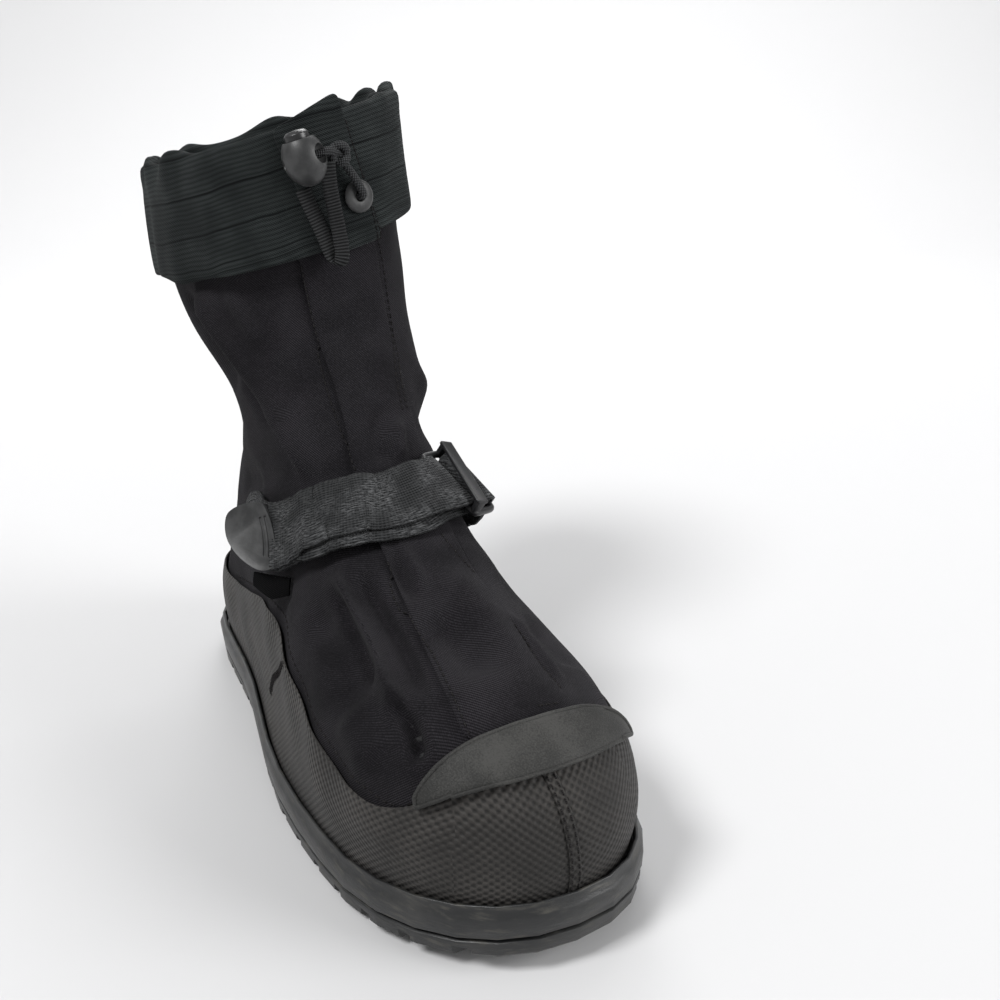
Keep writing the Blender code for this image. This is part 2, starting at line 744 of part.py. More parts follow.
def webbing(name, centres, across, width, wall, finish):
    """A flat band swept along the middle of its thickness."""
    rows = []
    last = len(centres) - 1
    for k, place in enumerate(centres):
        along = (centres[min(k + 1, last)] - centres[max(k - 1, 0)]).normalized()
        out = along.cross(across[k]).normalized()
        side, rise = across[k] * (width / 2), out * (wall / 2)
        rows.append([place + side + rise, place + side - rise, place - side - rise, place - side + rise])
    points = [p for row in rows for p in row]
    faces = [(0, 1, 2, 3), tuple(4 * last + k for k in (3, 2, 1, 0))]
    for j in range(last):
        for k in range(4):
            after = (k + 1) % 4
            faces.append((4 * j + k, 4 * j + 4 + k, 4 * j + 4 + after, 4 * j + after))
    return new_object(name, points, faces, finish)


BAR_TURN = BUCKLE_WIRE / 2 + SKIN_GAP + STRAP_WALL / 2
BUCKLE_STEP = 24
BUCKLE_PITCH = BUCKLE_SLOT + BUCKLE_WIRE
STRAP_LIFT = BASE_LIFT + STRAP_WALL / 2
STRAP_RETURN = STRAP_WALL + 2 * GAP
TAB_RETURN = STRAP_WALL / 2 + 2 * SKIN_GAP + PULL_TAB_WALL / 2
TOP_LAYER_END = 9
TURN_STEPS = 6


def bar_turn(centre, along, out, start=0.0, end=pi):
    """The band's way round a buckle bar, from under it to over it."""
    turn = []
    for k in range(TURN_STEPS + 1):
        angle = mix(start, end, k / TURN_STEPS)
        turn.append(centre + (along * sin(angle) - out * cos(angle)) * BAR_TURN)
    return turn


def buckle_frame(frames):
    """The buckle's place: the middle of its bar on the strap's side, and its three directions."""
    f = frames[BUCKLE_STEP]
    low = f.place + f.out * STRAP_LIFT
    return Frame(low + f.out * BAR_TURN, f.along, f.across, f.out)


def make_strap(frames):
    buckle = buckle_frame(frames)
    low = [f.place + f.out * mix(SKIN_GAP + STRAP_WALL / 2, STRAP_LIFT, min(1.0, k / 5))
           for k, f in enumerate(frames[:BUCKLE_STEP])]
    across = [f.across for f in frames[:BUCKLE_STEP]]
    turn = bar_turn(buckle.place, buckle.along, buckle.out)
    high, high_across = [], []
    for k in range(BUCKLE_STEP - 1, TOP_LAYER_END - 1, -1):
        near = max(0.0, 1 - (BUCKLE_STEP - k) / 5)
        rise = mix(STRAP_RETURN, 2 * BAR_TURN, near * near * (3 - 2 * near))
        rise = mix(TAB_RETURN, rise, min(1.0, (k - TOP_LAYER_END) / 3))
        high.append(frames[k].place + frames[k].out * (STRAP_LIFT + rise))
        high_across.append(frames[k].across)
    straight = frames[TOP_LAYER_END].along * PULL_TAB_POCKET
    high += [high[-1] - 0.25 * straight, high[-1] - straight]
    high_across += [high_across[-1]] * 2
    centres = low + turn + high
    return webbing("instep_strap", centres, across + [buckle.across] * len(turn) + high_across,
                   STRAP_WIDTH, STRAP_WALL, STRAP_WEB)


def make_buckle_anchor(frames):
    buckle = buckle_frame(frames)
    far = buckle.place + buckle.along * BUCKLE_PITCH
    reach = far - buckle.out * BAR_TURN
    rest = [f for f in frames[BUCKLE_STEP + 1:] if (f.place - reach).dot(buckle.along) > 0.003]
    low = []
    for k, f in enumerate(rest[::-1]):
        low.append(f.place + f.out * mix(SKIN_GAP + STRAP_WALL / 2, STRAP_LIFT, min(1.0, k / 4)))
    turn = bar_turn(far, -buckle.along, buckle.out, -0.15 * pi, 1.25 * pi)
    back = [f for f in rest if (f.place - reach).dot(buckle.along) > 0.009][:4]
    high = []
    for k, f in enumerate(back):
        rise = mix(STRAP_RETURN, 2 * BAR_TURN, max(0.0, 1 - (k + 1) / 4) ** 2)
        high.append(f.place + f.out * (STRAP_LIFT + rise))
    across = [f.across for f in rest[::-1]] + [buckle.across] * len(turn) + [f.across for f in back]
    return webbing("buckle_anchor", low + turn + high, across, STRAP_WIDTH, STRAP_WALL, STRAP_WEB)


def tube(name, points, radius, finish, closed=False, sides=2):
    """A round wire or cord along its points."""
    line = bpy.data.curves.new(name, "CURVE")
    line.dimensions = "3D"
    line.bevel_depth = radius
    line.bevel_resolution = sides
    line.use_fill_caps = True
    path = line.splines.new("POLY")
    path.points.add(len(points) - 1)
    for slot, point in zip(path.points, points):
        slot.co = (*point, 1.0)
    path.use_cyclic_u = closed
    line.materials.append(finish)
    made = bpy.data.objects.new(name, line)
    PARTS.objects.link(made)
    return made


def make_buckle(frames):
    f = buckle_frame(frames)
    half = STRAP_WIDTH / 2 + 2 * SKIN_GAP + BUCKLE_WIRE / 2
    corner = 0.0022
    points = []
    for side, end, turn in ((1, 0, 0), (1, 1, 1), (-1, 1, 2), (-1, 0, 3)):
        middle = (side * (half - corner), mix(corner, BUCKLE_PITCH - corner, end))
        for k in range(4):
            angle = pi / 2 * (turn + k / 3) - pi / 2
            points.append(f.place + f.across * (middle[0] + corner * cos(angle))
                          + f.along * (middle[1] + corner * sin(angle)))
    return tube("buckle", points, BUCKLE_WIRE / 2, DARK_PLASTIC, closed=True)


def placed(shape, name, frame, finish, smooth=False):
    """An object whose own x, y and z run along, across and out of a frame."""
    turn = Matrix((frame.along, frame.across, frame.out)).transposed().to_4x4()
    bmesh.ops.transform(shape, matrix=Matrix.Translation(frame.place) @ turn, verts=shape.verts)
    bmesh.ops.recalc_face_normals(shape, faces=shape.faces)
    mesh = bpy.data.meshes.new(name)
    shape.to_mesh(mesh)
    shape.free()
    mesh.materials.append(finish)
    if smooth:
        mesh.shade_smooth()
    made = bpy.data.objects.new(name, mesh)
    PARTS.objects.link(made)
    return made


def block(shape, low, high):
    """Adds a box to a shape."""
    made = bmesh.ops.create_cube(shape, size=1.0)["verts"]
    size = Vector(high) - Vector(low)
    bmesh.ops.scale(shape, vec=size, verts=made)
    bmesh.ops.translate(shape, vec=(Vector(low) + Vector(high)) / 2, verts=made)


def make_pull_tab(frames):
    """A flat plastic end with a round nose. The strap's end sits in a pocket in it."""
    f = frames[TOP_LAYER_END]
    place = f.place + f.out * (STRAP_LIFT + TAB_RETURN) - f.along * PULL_TAB_POCKET
    frame = Frame(place, -f.along, -f.across, f.out)
    half = STRAP_WIDTH / 2 + 2 * GAP + PULL_TAB_EDGE
    nose = PULL_TAB_LENGTH - PULL_TAB_POCKET
    mouth = -0.75 * PULL_TAB_POCKET
    outline = [(mouth, -0.92 * half), (mouth, 0.92 * half)]
    for k in range(13):
        angle = pi * k / 12
        outline.append((0.30 * nose + 0.70 * nose * sin(angle), half * cos(angle)))
    shape = bmesh.new()
    low = [shape.verts.new((x, y, -PULL_TAB_WALL / 2)) for x, y in outline]
    high = [shape.verts.new((x, y, PULL_TAB_WALL / 2)) for x, y in outline]
    shape.faces.new(low)
    shape.faces.new(high[::-1])
    for k in range(len(outline)):
        after = (k + 1) % len(outline)
        shape.faces.new((low[k], low[after], high[after], high[k]))
    made = placed(shape, "pull_tab", frame, GREY_PLASTIC)
    pocket = bmesh.new()
    wide, deep = STRAP_WIDTH / 2 + GAP, STRAP_WALL / 2 + GAP
    block(pocket, (-2 * PULL_TAB_POCKET, -wide, -deep), (GAP, wide, deep))
    cut(made, placed(pocket, "pull_tab_pocket", frame, GREY_PLASTIC))
    return made


# The bare label tab is sewn in just under the strap, on the outer side.
LABEL_PLACE = (0.236, 0.385)
LABEL_REACH = 0.021
LABEL_RISE = 0.012


def make_label_tab():
    u, v = LABEL_PLACE
    rows = []
    for j in range(4):
        up = v + LABEL_RISE * (1.5 - j) / 1.5
        rows.append([skin(u + LABEL_REACH * (1.5 - k) / 1.5, up, SKIN_GAP + LABEL_WALL) for k in range(4)])
    return thicken(grid_object("label_tab", rows, DARK_PLASTIC), LABEL_WALL, 1)


def cuff_frame(u, drop, stand):
    """A frame on the tab's face: across runs up the shaft and along runs round it to the inner side."""
    out = last_normal(u, 0.96)
    place = below_collar(u, drop, tab_face(u, drop) + stand)
    up = (below_collar(u, 0.002, 0.0) - below_collar(u, 0.03, 0.0)).normalized()
    along = up.cross(out).normalized()
    if along.x < 0:
        along.negate()
    return Frame(place, along, out.cross(along).normalized(), out)


# Where the lock, the knot, the disc and the loop lie on the tab: round the last, and under the collar.
LOCK_PLACE = (0.0215, 0.0118)
KNOT_PLACE = (-0.0132, 0.0138)
DISC_PLACE = (-0.034, 0.0330)
LOOP_FOOT = (-0.006, 0.0500)
LOOP_OUTER_TOP = (0.020, 0.0245)
LOOP_INNER_TOP = (0.002, 0.0235)
LOOP_TURN = 0.0036
LOCK_LEAN = radians(14)


def lock_frame():
    """The lock's middle. Its out direction is the plunger's axis, which leans to the outer side."""
    f = cuff_frame(*LOCK_PLACE, LOCK_RADIUS + GAP)
    up = f.across if f.across.z > 0 else -f.across
    axis = (up * cos(LOCK_LEAN) - f.along * sin(LOCK_LEAN)).normalized()
    tunnel = (f.along - axis * f.along.dot(axis)).normalized()
    return Frame(f.place, tunnel, axis.cross(tunnel).normalized(), axis)


def turned(name, profile, frame, finish, sides=20, twist=0.0):
    """A closed turned solid: profile is (radius, height) from its bottom pole to its top pole."""
    shape = bmesh.new()
    rings = []
    for radius, height in profile:
        if radius == 0:
            rings.append([shape.verts.new((0, 0, height))])
            continue
        ring = []
        for k in range(sides):
            angle = 2 * pi * k / sides + twist
            ring.append(shape.verts.new((radius * cos(angle), radius * sin(angle), height)))
        rings.append(ring)
    for low, high in zip(rings, rings[1:]):
        for k in range(sides):
            after = (k + 1) % sides
            if len(low) == 1:
                shape.faces.new((low[0], high[after], high[k]))
            elif len(high) == 1:
                shape.faces.new((low[k], low[after], high[0]))
            else:
                shape.faces.new((low[k], low[after], high[after], high[k]))
    return placed(shape, name, frame, finish, smooth=True)


STEM_FOOT = 0.0045
LOCK_MOUTH = 0.0035
HEAD_SUNK = 0.0010
TUNNEL_RADIUS = CORD_RADIUS + 2 * GAP


def make_cord_lock():
    f = lock_frame()
    half = LOCK_LENGTH / 2
    top = half - LOCK_MOUTH
    profile = [(0.0, -half)]
    for k in range(1, 9):
        height = mix(-half, top, k / 8)
        profile.append((LOCK_RADIUS * max(0.0, 1 - (height / half) ** 2) ** 0.5, height))
    profile.append((0.0, top))
    made = turned("cord_lock", profile, f, GREY_PLASTIC)
    bore = PLUNGER_RADIUS + PLUNGER_CLEARANCE
    foot = -STEM_FOOT - PLUNGER_TRAVEL - GAP
    seat = top - HEAD_SUNK - PLUNGER_TRAVEL - GAP
    wide = PLUNGER_HEAD + PLUNGER_CLEARANCE
    bore_sides = [(0.0, foot), (bore, foot), (bore, seat), (wide, seat), (wide, half), (0.0, half)]
    cut(made, turned("lock_bore", bore_sides, f, GREY_PLASTIC, twist=0.07))
    cross = Frame(f.place, f.across, f.out, f.along)
    reach = LOCK_RADIUS + 0.002
    tunnel_sides = [(0.0, -reach), (TUNNEL_RADIUS, -reach), (TUNNEL_RADIUS, reach), (0.0, reach)]
    cut(made, turned("lock_tunnel", tunnel_sides, cross, GREY_PLASTIC, sides=12, twist=0.11))
    return made


def make_lock_plunger():
    f = lock_frame()
    half = LOCK_LENGTH / 2
    head_low = half - LOCK_MOUTH - HEAD_SUNK
    head_high = half - LOCK_MOUTH + PLUNGER_TRAVEL + GAP
    head = PLUNGER_HEAD
    profile = [
        (0.0, -STEM_FOOT),
        (PLUNGER_RADIUS, -STEM_FOOT),
        (PLUNGER_RADIUS, head_low),
        (head, head_low),
        (head, head_high - 0.0012),
        (0.72 * head, head_high),
        (0.0, head_high + 0.0004),
    ]
    made = turned("lock_plunger", profile, f, DARK_PLASTIC)
    slot = bmesh.new()
    wide = PLUNGER_RADIUS + 0.001
    slot_top = TUNNEL_RADIUS + PLUNGER_TRAVEL
    block(slot, (-wide, -TUNNEL_RADIUS, -TUNNEL_RADIUS), (wide, TUNNEL_RADIUS, slot_top))
    cut(made, placed(slot, "plunger_slot", f, DARK_PLASTIC))
    return made


def make_lace_disc():
    f = cuff_frame(*DISC_PLACE, GAP)
    frame = Frame(f.place, f.along, f.across, f.out)
    flat = 0.0005
    profile = [
        (0.0, flat),
        (0.90 * DISC_RADIUS, flat),
        (DISC_RADIUS, flat + 0.4 * DISC_WALL),
        (0.80 * DISC_RADIUS, flat + DISC_WALL),
        (0.0, flat + DISC_WALL),
    ]
    made = turned("lace_disc", profile, frame, GREY_PLASTIC)
    hole = TUNNEL_RADIUS
    cut(made, turned("disc_hole", [(0.0, -0.002), (hole, -0.002), (hole, 0.006), (0.0, 0.006)], frame,
                     GREY_PLASTIC, sides=12))
    return made


def smooth_line(points, count):
    """Evenly spread points on a smooth curve through a route's own points."""
    dense = []
    last = len(points) - 1
    for k in range(last):
        a, b, c, d = points[max(k - 1, 0)], points[k], points[k + 1], points[min(k + 2, last)]
        for step in range(8):
            t = step / 8
            dense.append(0.5 * (2 * b + (c - a) * t + (2 * a - 5 * b + 4 * c - d) * t * t
                                + (3 * b - a - 3 * c + d) * t * t * t))
    dense.append(points[last])
    return even(dense, count)


def knot_place():
    return cuff_frame(*KNOT_PLACE, KNOT_RADIUS + GAP).place


# The cord's way, in metres: from the disc up to the knot, and from the knot into the lock.
TAIL_ROUTE = (
    (0.0141, -0.0896, 0.2475),
    (0.0149, -0.0932, 0.2488),
    (0.0116, -0.0936, 0.2553),
    (0.0079, -0.0927, 0.2610),
)
DRAW_ROUTE = (
    (0.0018, -0.0955, 0.2663),
    (-0.0010, -0.0978, 0.2671),
    (-0.0103, -0.0965, 0.2645),
    (-0.0156, -0.0957, 0.2631),
)


def make_draw_cord():
    """The elastic cord on both sides of its knot."""
    tail = [Vector(p) for p in TAIL_ROUTE]
    draw = [Vector(p) for p in DRAW_ROUTE]
    tube("draw_cord_tail", smooth_line(tail, 9), CORD_RADIUS, CORD_ELASTIC)
    tube("draw_cord", smooth_line(draw, 12), CORD_RADIUS, CORD_ELASTIC)


def make_cord_knot():
    shape = bmesh.new()
    bmesh.ops.create_icosphere(shape, subdivisions=2, radius=KNOT_RADIUS)
    frame = Frame(knot_place(), Vector((1, 0, 0)), Vector((0, 1, 0)), Vector((0, 0, 1)))
    return placed(shape, "cord_knot", frame, CORD_ELASTIC, smooth=True)


def make_lock_loop():
    """The flat elastic loop under the lock, down to the hem and back up."""
    stand = LOOP_WALL / 2 + SKIN_GAP
    outer, foot, inner = (cuff_frame(*spot, stand) for spot in (LOOP_OUTER_TOP, LOOP_FOOT, LOOP_INNER_TOP))
    f = foot
    up = f.across if f.across.z > 0 else -f.across
    route = [outer.place, outer.place.lerp(foot.place - f.along * LOOP_TURN, 0.55)]
    for k in range(5):
        angle = pi * k / 4
        route.append(foot.place - f.along * (LOOP_TURN * cos(angle)) - up * (LOOP_TURN * sin(angle)))
    route += [inner.place.lerp(foot.place + f.along * LOOP_TURN, 0.55), inner.place]
    line = smooth_line(route, 22)
    across = []
    for k in range(len(line)):
        along = (line[min(k + 1, len(line) - 1)] - line[max(k - 1, 0)]).normalized()
        across.append(f.out.cross(along).normalized())
    return webbing("lock_loop", line, across, LOOP_WEBBING, LOOP_WALL, CORD_ELASTIC)


# The pull loop is sewn to the back seam. Its place is under the collar.
PULL_LOOP_TOP = 0.066


def make_pull_loop():
    u = 0.5
    lift = SKIN_GAP + STRAP_WALL / 2
    top = below_collar(u, PULL_LOOP_TOP, lift)
    foot = below_collar(u, PULL_LOOP_TOP + PULL_LOOP_HEIGHT, lift)
    out = last_normal(u, 0.84)
    side = Vector((1, 0, 0))
    sewn = 0.005
    up = (top - foot).normalized()
    route = [top + up * sewn, top]
    for k in range(1, 8):
        angle = pi * k / 8
        route.append(top.lerp(foot, (1 - cos(angle)) / 2) + out * (PULL_LOOP_REACH * sin(angle) ** 0.7))
    route += [foot, foot - up * sewn]
    line = smooth_line(route, 20)
    return webbing("pull_loop", line, [side] * len(line), PULL_LOOP_WIDTH, STRAP_WALL, STRAP_WEB)


def main():
    make_outsole()
    make_midsole()
    make_insole()
    make_upper()
    make_rand()
    make_toe_patch()
    make_front_flap()
    make_cuff()
    make_cuff_tab()
    frames = strap_frames()
    make_strap(frames)
    make_buckle(frames)
    make_buckle_anchor(frames)
    make_pull_tab(frames)
    make_label_tab()
    make_cord_lock()
    make_lock_plunger()
    make_lace_disc()
    make_draw_cord()
    make_cord_knot()
    make_lock_loop()
    make_pull_loop()


remove_all_objects()
PARTS = collection("winter_overshoe")
CUTTERS = collection("cutters")
SOLE_RUBBER = material("sole_rubber", (0.030, 0.032, 0.033), 0.45)
PATCH_RUBBER = material("patch_rubber", (0.060, 0.058, 0.056), 0.60)
UPPER_CLOTH = material("upper_cloth", (0.012, 0.012, 0.014), 0.85)
RAND_CLOTH = material("rand_cloth", (0.030, 0.028, 0.027), 0.70)
CUFF_KNIT = material("cuff_knit", (0.016, 0.020, 0.019), 0.90)
INSOLE_FELT = material("insole_felt", (0.040, 0.040, 0.042), 0.95)
STRAP_WEB = material("strap_web", (0.045, 0.047, 0.048), 0.85)
CORD_ELASTIC = material("cord_elastic", (0.022, 0.022, 0.024), 0.80)
GREY_PLASTIC = material("grey_plastic", (0.050, 0.052, 0.054), 0.50)
DARK_PLASTIC = material("dark_plastic", (0.020, 0.020, 0.021), 0.45)

main()
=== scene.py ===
"""The dressed winter overshoe: a rubber sole, a cloth upper with a rand, a strap and a knitted cuff."""
from math import cos, pi, radians, sin

import bmesh
import bpy
import numpy as np
from mathutils import Matrix, Vector
from mathutils.bvhtree import BVHTree
from mathutils.interpolate import poly_3d_calc


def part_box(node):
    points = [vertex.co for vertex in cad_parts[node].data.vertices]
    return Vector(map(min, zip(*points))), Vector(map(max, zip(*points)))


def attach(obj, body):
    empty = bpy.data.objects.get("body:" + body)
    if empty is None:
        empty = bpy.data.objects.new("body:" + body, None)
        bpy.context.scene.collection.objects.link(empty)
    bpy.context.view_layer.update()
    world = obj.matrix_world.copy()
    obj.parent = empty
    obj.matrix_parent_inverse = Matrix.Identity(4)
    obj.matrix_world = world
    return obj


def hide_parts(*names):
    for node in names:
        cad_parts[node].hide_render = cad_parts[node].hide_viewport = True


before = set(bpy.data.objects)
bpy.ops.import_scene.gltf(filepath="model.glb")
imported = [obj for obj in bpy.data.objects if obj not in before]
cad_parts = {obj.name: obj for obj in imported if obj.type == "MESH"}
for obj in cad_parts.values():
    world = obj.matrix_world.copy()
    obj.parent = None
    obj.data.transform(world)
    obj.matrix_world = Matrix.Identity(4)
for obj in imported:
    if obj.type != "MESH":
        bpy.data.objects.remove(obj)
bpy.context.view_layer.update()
bpy.ops.object.select_all(action="DESELECT")
scene = bpy.context.scene

# The camera stands a little above the shoe, in front of it and to its outer side, and leans by one degree.
# Its numbers are a fit, by another program, to lines of the sole.
CAMERA_PLACE = Vector((-0.1606, -0.5546, 0.3082))
CAMERA_LENS = 41.69
CAMERA_LEAN = radians(-1.04)

bpy.ops.object.camera_add(location=CAMERA_PLACE)
camera = bpy.context.object
camera.name = "camera"
camera.data.lens = CAMERA_LENS
camera.data.sensor_width = 36
ahead = Vector((0.4231, 0.8263, -0.3719)).normalized()
level = Vector((0.8901, -0.4558, 0.0)).normalized()
upward = level.cross(ahead)
camera_right = level * cos(CAMERA_LEAN) + upward * sin(CAMERA_LEAN)
camera_up = upward * cos(CAMERA_LEAN) - level * sin(CAMERA_LEAN)
turn = Matrix((camera_right, camera_up, -ahead)).transposed().to_4x4()
camera.matrix_world = Matrix.Translation(CAMERA_PLACE) @ turn
scene.camera = camera


def new_finish(name, colour, roughness, specular=0.5):
    """A named material, with its shader."""
    finish = bpy.data.materials.new(name)
    finish.use_nodes = True
    shader = finish.node_tree.nodes["Principled BSDF"]
    shader.inputs["Base Color"].default_value = (*colour, 1)
    shader.inputs["Roughness"].default_value = roughness
    shader.inputs["Specular IOR Level"].default_value = specular
    return finish, shader


def soft_lamp(name, place, aim, size, power):
    bpy.ops.object.light_add(type="AREA", location=place)
    lamp = bpy.context.object
    lamp.name = name
    lamp.data.shape = "DISK"
    lamp.data.size = size
    lamp.data.energy = power
    lamp.rotation_euler = (Vector(aim) - Vector(place)).to_track_quat("-Z", "Y").to_euler()


# A pale floor under a large soft lamp from the upper left, a weaker one from the right, and a bright room.
bpy.ops.mesh.primitive_plane_add(size=6, location=(0, 0, -0.0002), rotation=(0, 0, radians(-27)))
floor = bpy.context.object
floor.name = "floor"
bpy.ops.object.mode_set(mode="EDIT")
bpy.ops.mesh.select_mode(type="EDGE")
bpy.ops.mesh.select_all(action="DESELECT")
bpy.ops.object.mode_set(mode="OBJECT")
for edge in floor.data.edges:
    edge.select = all(floor.data.vertices[k].co.y > 0 for k in edge.vertices)
bpy.ops.object.mode_set(mode="EDIT")
bpy.ops.mesh.extrude_region_move(TRANSFORM_OT_translate={"value": (0, 0, 4)})
bpy.ops.object.mode_set(mode="OBJECT")
sweep = floor.modifiers.new("sweep", "BEVEL")
sweep.width = 1.8
sweep.segments = 24
floor.data.shade_smooth()
floor_finish = new_finish("pale_floor", (0.60, 0.60, 0.605), 0.9, 0.2)[0]
floor.data.materials.append(floor_finish)
soft_lamp("key_lamp", (-2.0, -0.5, 3.0), (0, -0.1, 0.10), 1.1, 100)
soft_lamp("fill_lamp", (1.8, -1.9, 1.2), (0, -0.1, 0.10), 1.6, 52)
soft_lamp("back_lamp", (0.6, 1.3, 1.5), (0, -0.05, 0.15), 0.8, 10)
soft_lamp("wall_lamp", (0.9, 0.9, 2.2), (1.2, 2.6, 0.6), 1.4, 32)
room = bpy.data.worlds.new("room")
room.use_nodes = True
room.node_tree.nodes["Background"].inputs["Color"].default_value = (1, 1, 1, 1)
room.node_tree.nodes["Background"].inputs["Strength"].default_value = 0.42
scene.world = room
scene.view_settings.view_transform = "Standard"

# The draw cord is a round braided elastic. It leaves the flat disc, is tied in a knot, and ends in the lock.
# At least four places of its route were printed by another program, from the CAD pieces.
CORD_THICK = 0.0034
CORD_ROUTE = [Vector(p) for p in (
    (0.0141, -0.0896, 0.2475), (0.0149, -0.0932, 0.2488), (0.0116, -0.0936, 0.2553),
    (0.0079, -0.0927, 0.2610), (0.0055, -0.0925, 0.2652), (0.0018, -0.0955, 0.2663),
    (-0.0010, -0.0978, 0.2671), (-0.0103, -0.0965, 0.2645), (-0.0156, -0.0957, 0.2631))]


def node(finish, kind, inputs=(), **settings):
    """Adds a node, with its settings and what goes into it."""
    made = finish.node_tree.nodes.new(kind)
    for name, value in settings.items():
        setattr(made, name, value)
    for slot, value in inputs:
        if isinstance(value, bpy.types.NodeSocket):
            finish.node_tree.links.new(value, made.inputs[slot])
        else:
            made.inputs[slot].default_value = value
    return made


def place_on(finish, layer=None):
    """Where a point lies: in the piece's own metres, or on its UV map."""
    if layer:
        return node(finish, "ShaderNodeUVMap", uv_map=layer).outputs["UV"]
    return node(finish, "ShaderNodeTexCoord").outputs["Object"]


def ripples(finish, place, direction, pitch):
    """Even waves along a direction, from -1 to 1."""
    reach = Vector(direction).normalized() * (2 * pi / pitch)
    along = node(finish, "ShaderNodeVectorMath", [(0, place), (1, reach)], operation="DOT_PRODUCT")
    return node(finish, "ShaderNodeMath", [(0, along.outputs["Value"])], operation="SINE").outputs[0]


def reckon(finish, operation, a, b=0.0):
    return node(finish, "ShaderNodeMath", [(0, a), (1, b)], operation=operation).outputs[0]


def sum_of(finish, first, share, second, other_share):
    """Two values added, each by its share."""
    return reckon(finish, "ADD", reckon(finish, "MULTIPLY", first, share),
                  reckon(finish, "MULTIPLY", second, other_share))


def speckle(finish, place, size, detail=3.0):
    """Cloudy noise of about a size in metres, from 0 to 1."""
    cloud = node(finish, "ShaderNodeTexNoise", [("Vector", place), ("Scale", 1 / size), ("Detail", detail)])
    return cloud.outputs["Fac"]


def band(finish, value, low, high):
    """0 under low, 1 over high, and smooth between them."""
    step = node(finish, "ShaderNodeMapRange", [("Value", value), ("From Min", low), ("From Max", high)],
                interpolation_type="SMOOTHSTEP")
    return step.outputs["Result"]


def blend_colours(finish, share, first, second):
    """A colour between two, each a colour or a socket."""
    colours = [c if isinstance(c, bpy.types.NodeSocket) else (*c, 1) for c in (first, second)]
    mix = node(finish, "ShaderNodeMix", [(0, share), (6, colours[0]), (7, colours[1])], data_type="RGBA")
    return mix.outputs[2]


def raise_relief(finish, shader, *layers):
    """Bumps on the surface, one over the other: each layer is a height and its depth in metres."""
    normal = None
    for height, depth in layers:
        bump = node(finish, "ShaderNodeBump", [("Height", height), ("Distance", depth), ("Strength", 1.0)])
        if normal:
            finish.node_tree.links.new(normal, bump.inputs["Normal"])
        normal = bump.outputs["Normal"]
    finish.node_tree.links.new(normal, shader.inputs["Normal"])


def colour_from(finish, shader, colour):
    finish.node_tree.links.new(colour, shader.inputs["Base Color"])


def rough_from(finish, shader, value, smooth, rough):
    """Roughness that follows a value, from smooth at 0 to rough at 1."""
    spread = node(finish, "ShaderNodeMapRange", [("Value", value), ("To Min", smooth), ("To Max", rough)])
    finish.node_tree.links.new(spread.outputs[0], shader.inputs["Roughness"])


def ramp(value, start, length):
    """0 up to a start, 1 from a length past it, and straight between them."""
    return min(1.0, max(0.0, (value - start) / length))


def choose(piece):
    """Makes a piece the only one that is selected, and the active one."""
    bpy.ops.object.select_all(action="DESELECT")
    piece.select_set(True)
    bpy.context.view_layer.objects.active = piece


def new_piece(name, points, faces):
    """A piece from its points and its faces."""
    mesh = bpy.data.meshes.new(name)
    mesh.from_pydata([tuple(p) for p in points], [], faces)
    made = bpy.data.objects.new(name, mesh)
    bpy.context.collection.objects.link(made)
    return made


def even_line(points, step):
    """The smooth curve through a route's points, in equal steps."""
    dense = []
    last = len(points) - 1
    for k in range(last):
        a, b, c, d = points[max(k - 1, 0)], points[k], points[k + 1], points[min(k + 2, last)]
        for part in range(16):
            t = part / 16
            dense.append(0.5 * (2 * b + (c - a) * t + (2 * a - 5 * b + 4 * c - d) * t * t
                                + (3 * b - a - 3 * c + d) * t ** 3))
    dense.append(points[last])
    gone = [0.0]
    for a, b in zip(dense, dense[1:]):
        gone.append(gone[-1] + (b - a).length)
    count = max(2, round(gone[-1] / step))
    line = []
    for n in range(count + 1):
        at = gone[-1] * n / count
        k = min(max(0, int(np.searchsorted(gone, at)) - 1), len(dense) - 2)
        line.append(dense[k].lerp(dense[k + 1], (at - gone[k]) / max(gone[k + 1] - gone[k], 1e-9)))
    return line


def round_wire(name, line, radius, sides=3, closed=False):
    """A round wire or cord along a line, as a mesh."""
    curve = bpy.data.curves.new(name, "CURVE")
    curve.dimensions = "3D"
    curve.bevel_depth = radius
    curve.bevel_resolution = sides
    curve.use_fill_caps = True
    path = curve.splines.new("POLY")
    path.points.add(len(line) - 1)
    for point, place in zip(path.points, line):
        point.co = (*place, 1)
    path.use_cyclic_u = closed
    made = bpy.data.objects.new(name, curve)
    bpy.context.collection.objects.link(made)
    choose(made)
    bpy.ops.object.convert(target="MESH")
    made.data.shade_smooth()
    made.select_set(False)
    return made


def finish_piece(piece, finish, body, slot, *nodes):
    """Gives a piece its finish and its body, and hides the CAD nodes that it stands for. The slot is not used.
    """
    piece.data.materials.clear()
    piece.data.materials.append(finish)
    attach(piece, body)
    if nodes:
        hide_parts(*nodes)


cord_line = even_line(CORD_ROUTE, 0.0012)
draw_cord = round_wire("braided_draw_cord", cord_line, CORD_THICK / 2, 4)
cord_finish, cord_shader = new_finish("braided_elastic", (0.030, 0.031, 0.033), 0.75, 0.25)
place = place_on(cord_finish)
plait = reckon(cord_finish, "MULTIPLY", ripples(cord_finish, place, (1, 0.3, 0.9), 0.0013),
               ripples(cord_finish, place, (1, -0.3, -0.9), 0.0013))
colour_from(cord_finish, cord_shader, blend_colours(cord_finish, band(cord_finish, plait, -0.6, 0.8),
                                                    (0.010, 0.010, 0.011), (0.050, 0.052, 0.054)))
raise_relief(cord_finish, cord_shader, (plait, 0.00025))
finish_piece(draw_cord, cord_finish, "shoe", "cord_elastic", "draw_cord", "draw_cord_tail")


